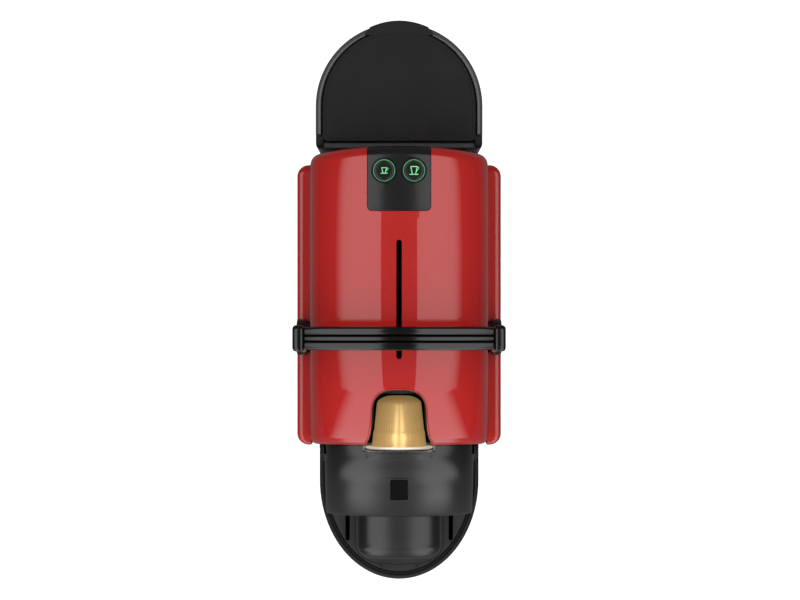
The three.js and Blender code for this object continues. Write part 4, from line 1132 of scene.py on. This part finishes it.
def nose_body(inset=0.0):
    """Closed nose, or its hollow when drawn in."""
    front, rear = NOSE["front"] + inset, NOSE["rear"] - inset
    turns = [9 * (1 - math.cos(math.pi / 2 * turn / 9)) for turn in range(10)]
    places = [front + turn for turn in turns] + [-130, -127, NOSE["brow"], -120, rear]
    stations = []
    for y in places:
        crown = nose_height(y - inset if y < -125 else y) - inset
        half = NOSE["half"] - inset - rounding(NOSE["corner"], y - front)
        bottom = NOSE["bottom"] + inset
        stations.append(arch(half, crown, min(NOSE["rise"], crown - bottom - 0.6), bottom, y))
    bm = loft(stations, closed=True)
    close_ends(bm)
    bmesh.ops.recalc_face_normals(bm, faces=bm.faces)
    return bm


nose = make_object("nose_shell", nose_body())
carve(nose, [nose_body(2), block((-18, -119.5, 111), (18, -110, 120)),
             spin_profile([(0, 100), (4, 100), (4, 112), (0, 112)], "z",
                          (0, NOSE["spout"], 0), 40)])
hang(nose, SATIN, "root", "satin_cover", "coffee_outlet", angle=30)
spout_tip = [(4.6, 104.9), (4.9, 105.2), (4.9, 106.2), (3.9, 106.2), (3.9, 108.4), (3.3, 108.4),
             (3.3, 105.2), (3.6, 104.9), (4.6, 104.9)]
make_piece("spout_collar", spin_profile(spout_tip, "z", (0, NOSE["spout"], 0), 48), BLACK,
           "root", "black_plastic")

# %% [markdown]
# ## Water tank and its lid
#
# The tank is a D-shaped box of smoked clear plastic with a thick polished rim, closed by a matt lid
# whose lip is pulled up with a finger. A moulded box like this is a stack of rings: each ring is
# the plan drawn a little further in, at its own height, so one loft makes the outer wall, the rim
# and the inner wall without any cutting.

# %% Tank plan
TANK = {"radius": 46.2, "centre": 112.4, "front": 89, "corner": 3}
LID = {"inset": 3.8, "bottom": 160.2, "top": 165.5, "lip": 17, "reach": 159.7}


def tank_ring(inset, z, arc_steps=44):
    """D-shaped ring, drawn in by inset at a height."""
    radius, front = TANK["radius"] - inset, TANK["front"] + inset
    corner = TANK["corner"]
    points = bend((-radius, front + corner), (-radius, front), (-radius + corner, front), 6)
    points += bend((radius - corner, front), (radius, front), (radius, front + corner), 6)
    for step in range(arc_steps + 1):
        angle = math.pi * step / arc_steps
        points.append((radius * math.cos(angle), TANK["centre"] + radius * math.sin(angle)))
    return [(x, y, z) for x, y in points]


def ring_stack(ring, levels):
    """Loft through (inset, height) levels, closed at both ends."""
    bm = loft([ring(*level) for level in levels], closed=True)
    close_ends(bm)
    return bm


tank_levels = [(1.6, 18.4), (0.5, 18.7), (0, 19.8), (0, 156.2), (0.25, 156.6), (0.25, 157.2),
               (0, 157.6), (0, 162.0), (0.2, 162.7), (0.7, 163.1), (2.4, 163.1), (2.9, 162.9),
               (3.2, 162.4), (3.4, 161.8), (3.4, 157.3), (2, 157.0), (2, 23.0), (2.5, 21.6),
               (3.6, 21.0)]
tank = make_object("tank_walls", ring_stack(tank_ring, tank_levels))
knuckle_room = [block((side * 45 - 3.4, 88, 159), (side * 45 + 3.4, 97, 170)) for side in (-1, 1)]
valve_hole = spin_profile([(0, 10), (6.9, 10), (6.9, 30), (0, 30)], "z", (0, 104, 0), 40)
carve(tank, knuckle_room + [valve_hole])
hang(tank, SMOKED, "water_tank", "smoked_tank", "water_tank", angle=30)


# %% Tank lid
def lid_ring(inset, z):
    """Ring of the lid's plate."""
    return tank_ring(LID["inset"] + inset, z)


lid_levels = [(0, LID["bottom"]), (0, 164.7), (0.25, 165.25), (0.8, LID["top"]), (1.7, LID["top"]),
              (1.95, 165.3), (2.2, 165.3), (2.6, 165.42)]
lid_shell = loft([lid_ring(*level) for level in lid_levels], closed=True)
close_ends(lid_shell)
lip_edge = [(LID["lip"] * share, LID["reach"] - 4 * share ** 2 - 1.2 * (abs(share) == 1))
            for share in (1, 0.95, 0.8, 0.6, 0.4, 0.2, 0, -0.2, -0.4, -0.6, -0.8, -0.95, -1)]
lip_plan = [(-LID["lip"] - 2, 151.5), (LID["lip"] + 2, 151.5)] + lip_edge
lip = slab(lip_plan, "z", 163.45, 165.5, edge=0.5)
lid = make_object("tank_lid_plate", lid_shell)
under = loft([lid_ring(2, LID["bottom"] - 1), lid_ring(2, 163.4)], closed=True)
close_ends(under)
carve(lid, [under])
carve(lid, [lip], "UNION")
bm = bmesh.new()
bm.from_mesh(lid.data)
bmesh.ops.scale(bm, vec=(1 / MM,) * 3, verts=bm.verts)
knuckle_profile = [(0, 42), (2.3, 42), (2.7, 42.4), (2.7, 45.3), (2.3, 45.7), (0, 45.7)]
knuckle = spin_profile(knuckle_profile, "x", (0, 92.2, 162.7), 32)
bridge = block((42, 92.2, 160.3), (45.6, 95.7, 165.3), 0.4)
full_lid = merge(bm, knuckle, flip_copy(knuckle), bridge, flip_copy(bridge))
make_piece("tank_lid_cover", full_lid, LID_BLACK, "tank_lid", "lid_black", "tank_lid",
           angle=30, recalc=False)
bpy.data.meshes.remove(lid.data)

# %% [markdown]
# ## Drip tray, cup support and capsule bin
#
# The cup side slides out as one drawer: a half-round dish, the perforated plate that the cup stands
# on, and the bin behind it that catches used capsules. The dish is a stack of rings like the tank.
# The plate is a slab with two drain slots, a raised line that marks where the cup goes, and a
# hinge barrel at its rear edge.

# %% Tray dish
TRAY = {"half": 46.9, "length": 58.5, "centre": -101.2, "rear": -80.6}
HINGE = {"y": -91.6, "z": 37.2}


def tray_outline(inset, rear, steps=48):
    """Half-round outline, drawn in by inset, with a straight rear edge."""
    a, b = TRAY["half"] - inset, TRAY["length"] - inset
    points = [(a, rear), (-a, rear)]
    for step in range(steps + 1):
        angle = math.pi * (1 + step / steps)
        points.append((a * math.cos(angle), TRAY["centre"] + b * math.sin(angle)))
    return points


def tray_ring(inset, z, rear):
    """One ring of the dish."""
    return [(x, y, z) for x, y in tray_outline(inset, rear)]


back, inner_back = TRAY["rear"], HINGE["y"] + 2.4
dish_levels = [(1.4, 8, back), (0.4, 8.4, back), (0, 9.6, back), (0, 38.8, back),
               (0.25, 39.6, back), (0.9, 40, back), (2.0, 40, back), (2.4, 39.8, back - 0.4),
               (2.8, 39.2, inner_back + 0.3), (3.4, 39.0, inner_back), (3.9, 38.8, inner_back),
               (3.9, 35.7, inner_back), (6, 35.4, inner_back), (6, 33.3, inner_back),
               (2.4, 33.0, inner_back), (2.4, 12.6, inner_back), (3.2, 11.3, inner_back),
               (4.6, 11, inner_back)]
dish = make_object("dish", ring_stack(tray_ring, dish_levels))
tongue = block((-42.6, TRAY["rear"] - 2, 8), (42.6, -10, 34), 0.8)
carve(dish, [tongue], "UNION")
carve(dish, [
    block((-43, HINGE["y"] - 2.6, 34.4), (43, HINGE["y"] + 2.4, 45)),
    block((-40.4, -79, 10.5), (40.4, -12.2, 45)),
    spin_profile([(0, -45.6), (1.2, -45.6), (1.2, 45.6), (0, 45.6)], "x",
                 (0, HINGE["y"], HINGE["z"]), 24),
])
dish.name = "tray_dish"
hang(dish, BLACK, "drip_tray", "black_plastic", "drip_tray", angle=30)

# %% Cup support
SUPPORT_INSET = 4.3
plate_levels = [(0.5, 35.9), (0, 36.4), (0, 38.9), (0.2, 39.4), (0.7, 39.6)]
plate_rear = HINGE["y"] - 0.6
support = make_object("support", ring_stack(
    lambda inset, z: tray_ring(SUPPORT_INSET + inset, z, plate_rear), plate_levels))
barrel = spin_profile([(0, -42), (1.9, -42), (2.2, -41.7), (2.2, 41.7), (1.9, 42), (0, 42)], "x",
                      (0, HINGE["y"], HINGE["z"]), 32)
carve(support, [barrel], "UNION")
support_cuts = [spin_profile([(0, -50), (1.2, -50), (1.2, 50), (0, 50)], "x",
                             (0, HINGE["y"], HINGE["z"]), 24)]
for side in (-1, 1):
    support_cuts.append(slab(round_ended(side * 30.5 - 1.25, side * 30.5 + 1.25, -137, -112, 1.24),
                             "z", 30, 45))
    support_cuts.append(spin_profile([(0, 38.4), (0.9, 38.4), (0.9, 45), (0, 45)], "z",
                                     (side * 10.6, -151.6, 0), 20))
carve(support, support_cuts)
support.name = "cup_plate"
hang(support, BLACK, "cup_support", "black_plastic", "cup_support", angle=30)
cup_line = [(26, -100, 39.55)] + [(x, y, 39.55) for x, y in
                                  bend((26, -138), (26, -147.5), (13, -150.6), 8)]
cup_line += [(0, -151.3, 39.55)] + [(-x, y, z) for x, y, z in reversed(cup_line)]
make_piece("cup_guide_line", tube(cup_line, 0.34, 8), BLACK, "cup_support", "black_plastic")
pin_rods = [(0, -45.2), (0.7, -45.2), (0.9, -45.0), (0.9, 45.0), (0.7, 45.2), (0, 45.2)]
make_piece("hinge_rod", spin_profile(pin_rods, "x", (0, HINGE["y"], HINGE["z"]), 24), STEEL,
           "drip_tray", "steel", "support_hinge_pin")

# %% Capsule bin
BIN = {"half": 42.6, "face": 45.4, "front": -87.5, "rear": -9, "low": 34.3, "top": 103.5}
face_plan = [(-BIN["face"], TRAY["rear"] - 0.3), (-BIN["face"], BIN["front"], 5),
             (BIN["face"], BIN["front"], 5), (BIN["face"], TRAY["rear"] - 0.3)]
bin_face = make_object("bin_face", slab(face_plan, "z", 40.8, BIN["top"], edge=0.8, corner_steps=8))
box_front = TRAY["rear"] + 1.4
tub = block((-BIN["half"], BIN["front"] + 4, 40.8), (BIN["half"], BIN["rear"], BIN["top"] - 1), 0.6)
lower_tub = block((-BIN["half"], box_front, BIN["low"]), (BIN["half"], BIN["rear"], 60), 0.6)
carve(bin_face, [tub], "UNION")
carve(bin_face, [lower_tub], "UNION")
carve(bin_face, [
    block((-BIN["half"] + 2, BIN["front"] + 2.4, 43.5), (BIN["half"] - 2, BIN["rear"] - 2, 110)),
    block((-BIN["half"] + 2, TRAY["rear"] + 3, BIN["low"] + 2.2),
          (BIN["half"] - 2, BIN["rear"] - 2, 110)),
])
bin_face.name = "capsule_bin_tub"
hang(bin_face, BLACK, "drip_tray", "black_plastic", "capsule_bin", angle=30)
print("drawer done")

# %% [markdown]
# ## Rear cover, front frame, feet and gland
#
# The lower rear is closed by a black skin that continues the crown's plan. The dark frame at the
# front sits round the head. Four rubber feet carry the machine, and a ribbed gland marks where the
# lead would leave the base.

# %% Lower covers
def rear_plan():
    """Chain round the rear of the body from the left to the right."""
    half, rear = CROWN["half"] - 0.3, CROWN["rear"]
    corner = bend((half, rear - 9.5), (47.5, rear - 4.2), (42.2, rear - 3.3), 9)
    right = [(half - 0.02, 80)] + [point for point in corner if point[1] > 80.4]
    right += bend((42.2, rear - 3.3), (24.1, rear), (0, rear), 8)[1:]
    return [(-x, y) for x, y in right[:-1]] + list(reversed(right))


rear_levels = [(8.2, 0.8), (8.9, 0.2), (9.8, 0.0), (148.6, 0.0), (149.3, 0.2), (149.6, 0.6)]
rear_skin = loft([[(x * (1 - inset / 48), y - inset * (y > 80.1), z) for x, y in rear_plan()]
                  for z, inset in rear_levels])
rear_cover = make_object("rear_skin", rear_skin)
wall(rear_cover, 2, axis=1)
carve(rear_cover, [block((-14, 70, 0), (14, 100, 20))])
hang(rear_cover, BLACK, "root", "black_plastic", "rear_cover", angle=40)

right_edge = [(BIN["face"], 8.2, 3), (BIN["face"], 108, 2), (43.6, 112, 2), (43.6, 174, 3)]
frame_outline = right_edge + [(-x, z, radius) for x, z, radius in reversed(right_edge)]
front = make_object("dark_frame", slab(frame_outline, "y", -80, -74.6, edge=0.9))
carve(front, [block((-43.4, -90, 0), (43.4, -60, 105.6)),
              block((-41.4, -90, 107.9), (41.4, -60, 200))])
hang(front, BLACK, "root", "black_plastic", "front_frame")

# %% Feet and gland
FEET = {"front_left": (-36, -64), "front_right": (36, -64),
        "rear_left": (-30, 128), "rear_right": (30, 128)}
foot_profile = [(0, 0.3), (4.2, 0.3), (4.6, 0), (6.0, 0), (6.6, 0.3), (7, 1.0), (7, 3.2),
                (6.8, 3.7), (0, 3.7)]
for word, (x, y) in FEET.items():
    make_piece(f"rubber_foot_{word}", spin_profile(foot_profile, "z", (x, y, 0), 40), RUBBER,
               "root", "rubber", f"foot_{word}")
gland_profile = [(2.6, 144), (4.6, 144), (4.6, 150.4)]
for rib in range(3):
    start = 150.8 + rib * 2.2
    gland_profile += [(4.0, start), (4.0, start + 0.7), (4.5, start + 1.0), (4.5, start + 1.7)]
gland_profile += [(4.2, 157.2), (3.9, 157.6), (2.9, 157.6), (2.6, 157.3), (2.6, 144)]
make_piece("ribbed_gland", spin_profile(gland_profile, "y", (0, 0, 12), 40), RUBBER, "root",
           "rubber", "cord_gland")

# %% [markdown]
# ## Parts that keep the frame's own shape
#
# Everything inside the covers has its true shape already, so it only needs its finish. One table
# says which finish goes on which part.

# %% Inner parts
INNER = {
    BLACK: ["chassis", "base_plate", "slot_liner", "coffee_collector", "tank_connector"],
    SATIN: ["brew_cage"],
    NYLON: ["brew_frame", "axle_bush_left", "axle_bush_right", "flow_meter", "pump_body",
            "tank_valve"],
    STEEL: ["lever_axle_left", "lever_axle_right", "extraction_plate", "piercing_plate",
            "base_screw_1", "base_screw_2", "base_screw_3", "base_screw_4"],
    RUBBER: ["cage_seal", "pump_mount_front", "pump_mount_rear", "inner_mains_lead"],
    SILICONE: ["hose_tank_to_meter", "hose_meter_to_pump", "hose_pump_to_heater"],
    BOARD: ["control_board", "key_board"],
    COPPER: ["pump_coil"],
    ALUMINIUM: ["thermoblock"],
}
for material, nodes in INNER.items():
    for node in nodes:
        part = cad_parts[node]
        for slot in part.material_slots:
            slot.material = material
print("inner parts finished:", sum(len(nodes) for nodes in INNER.values()))
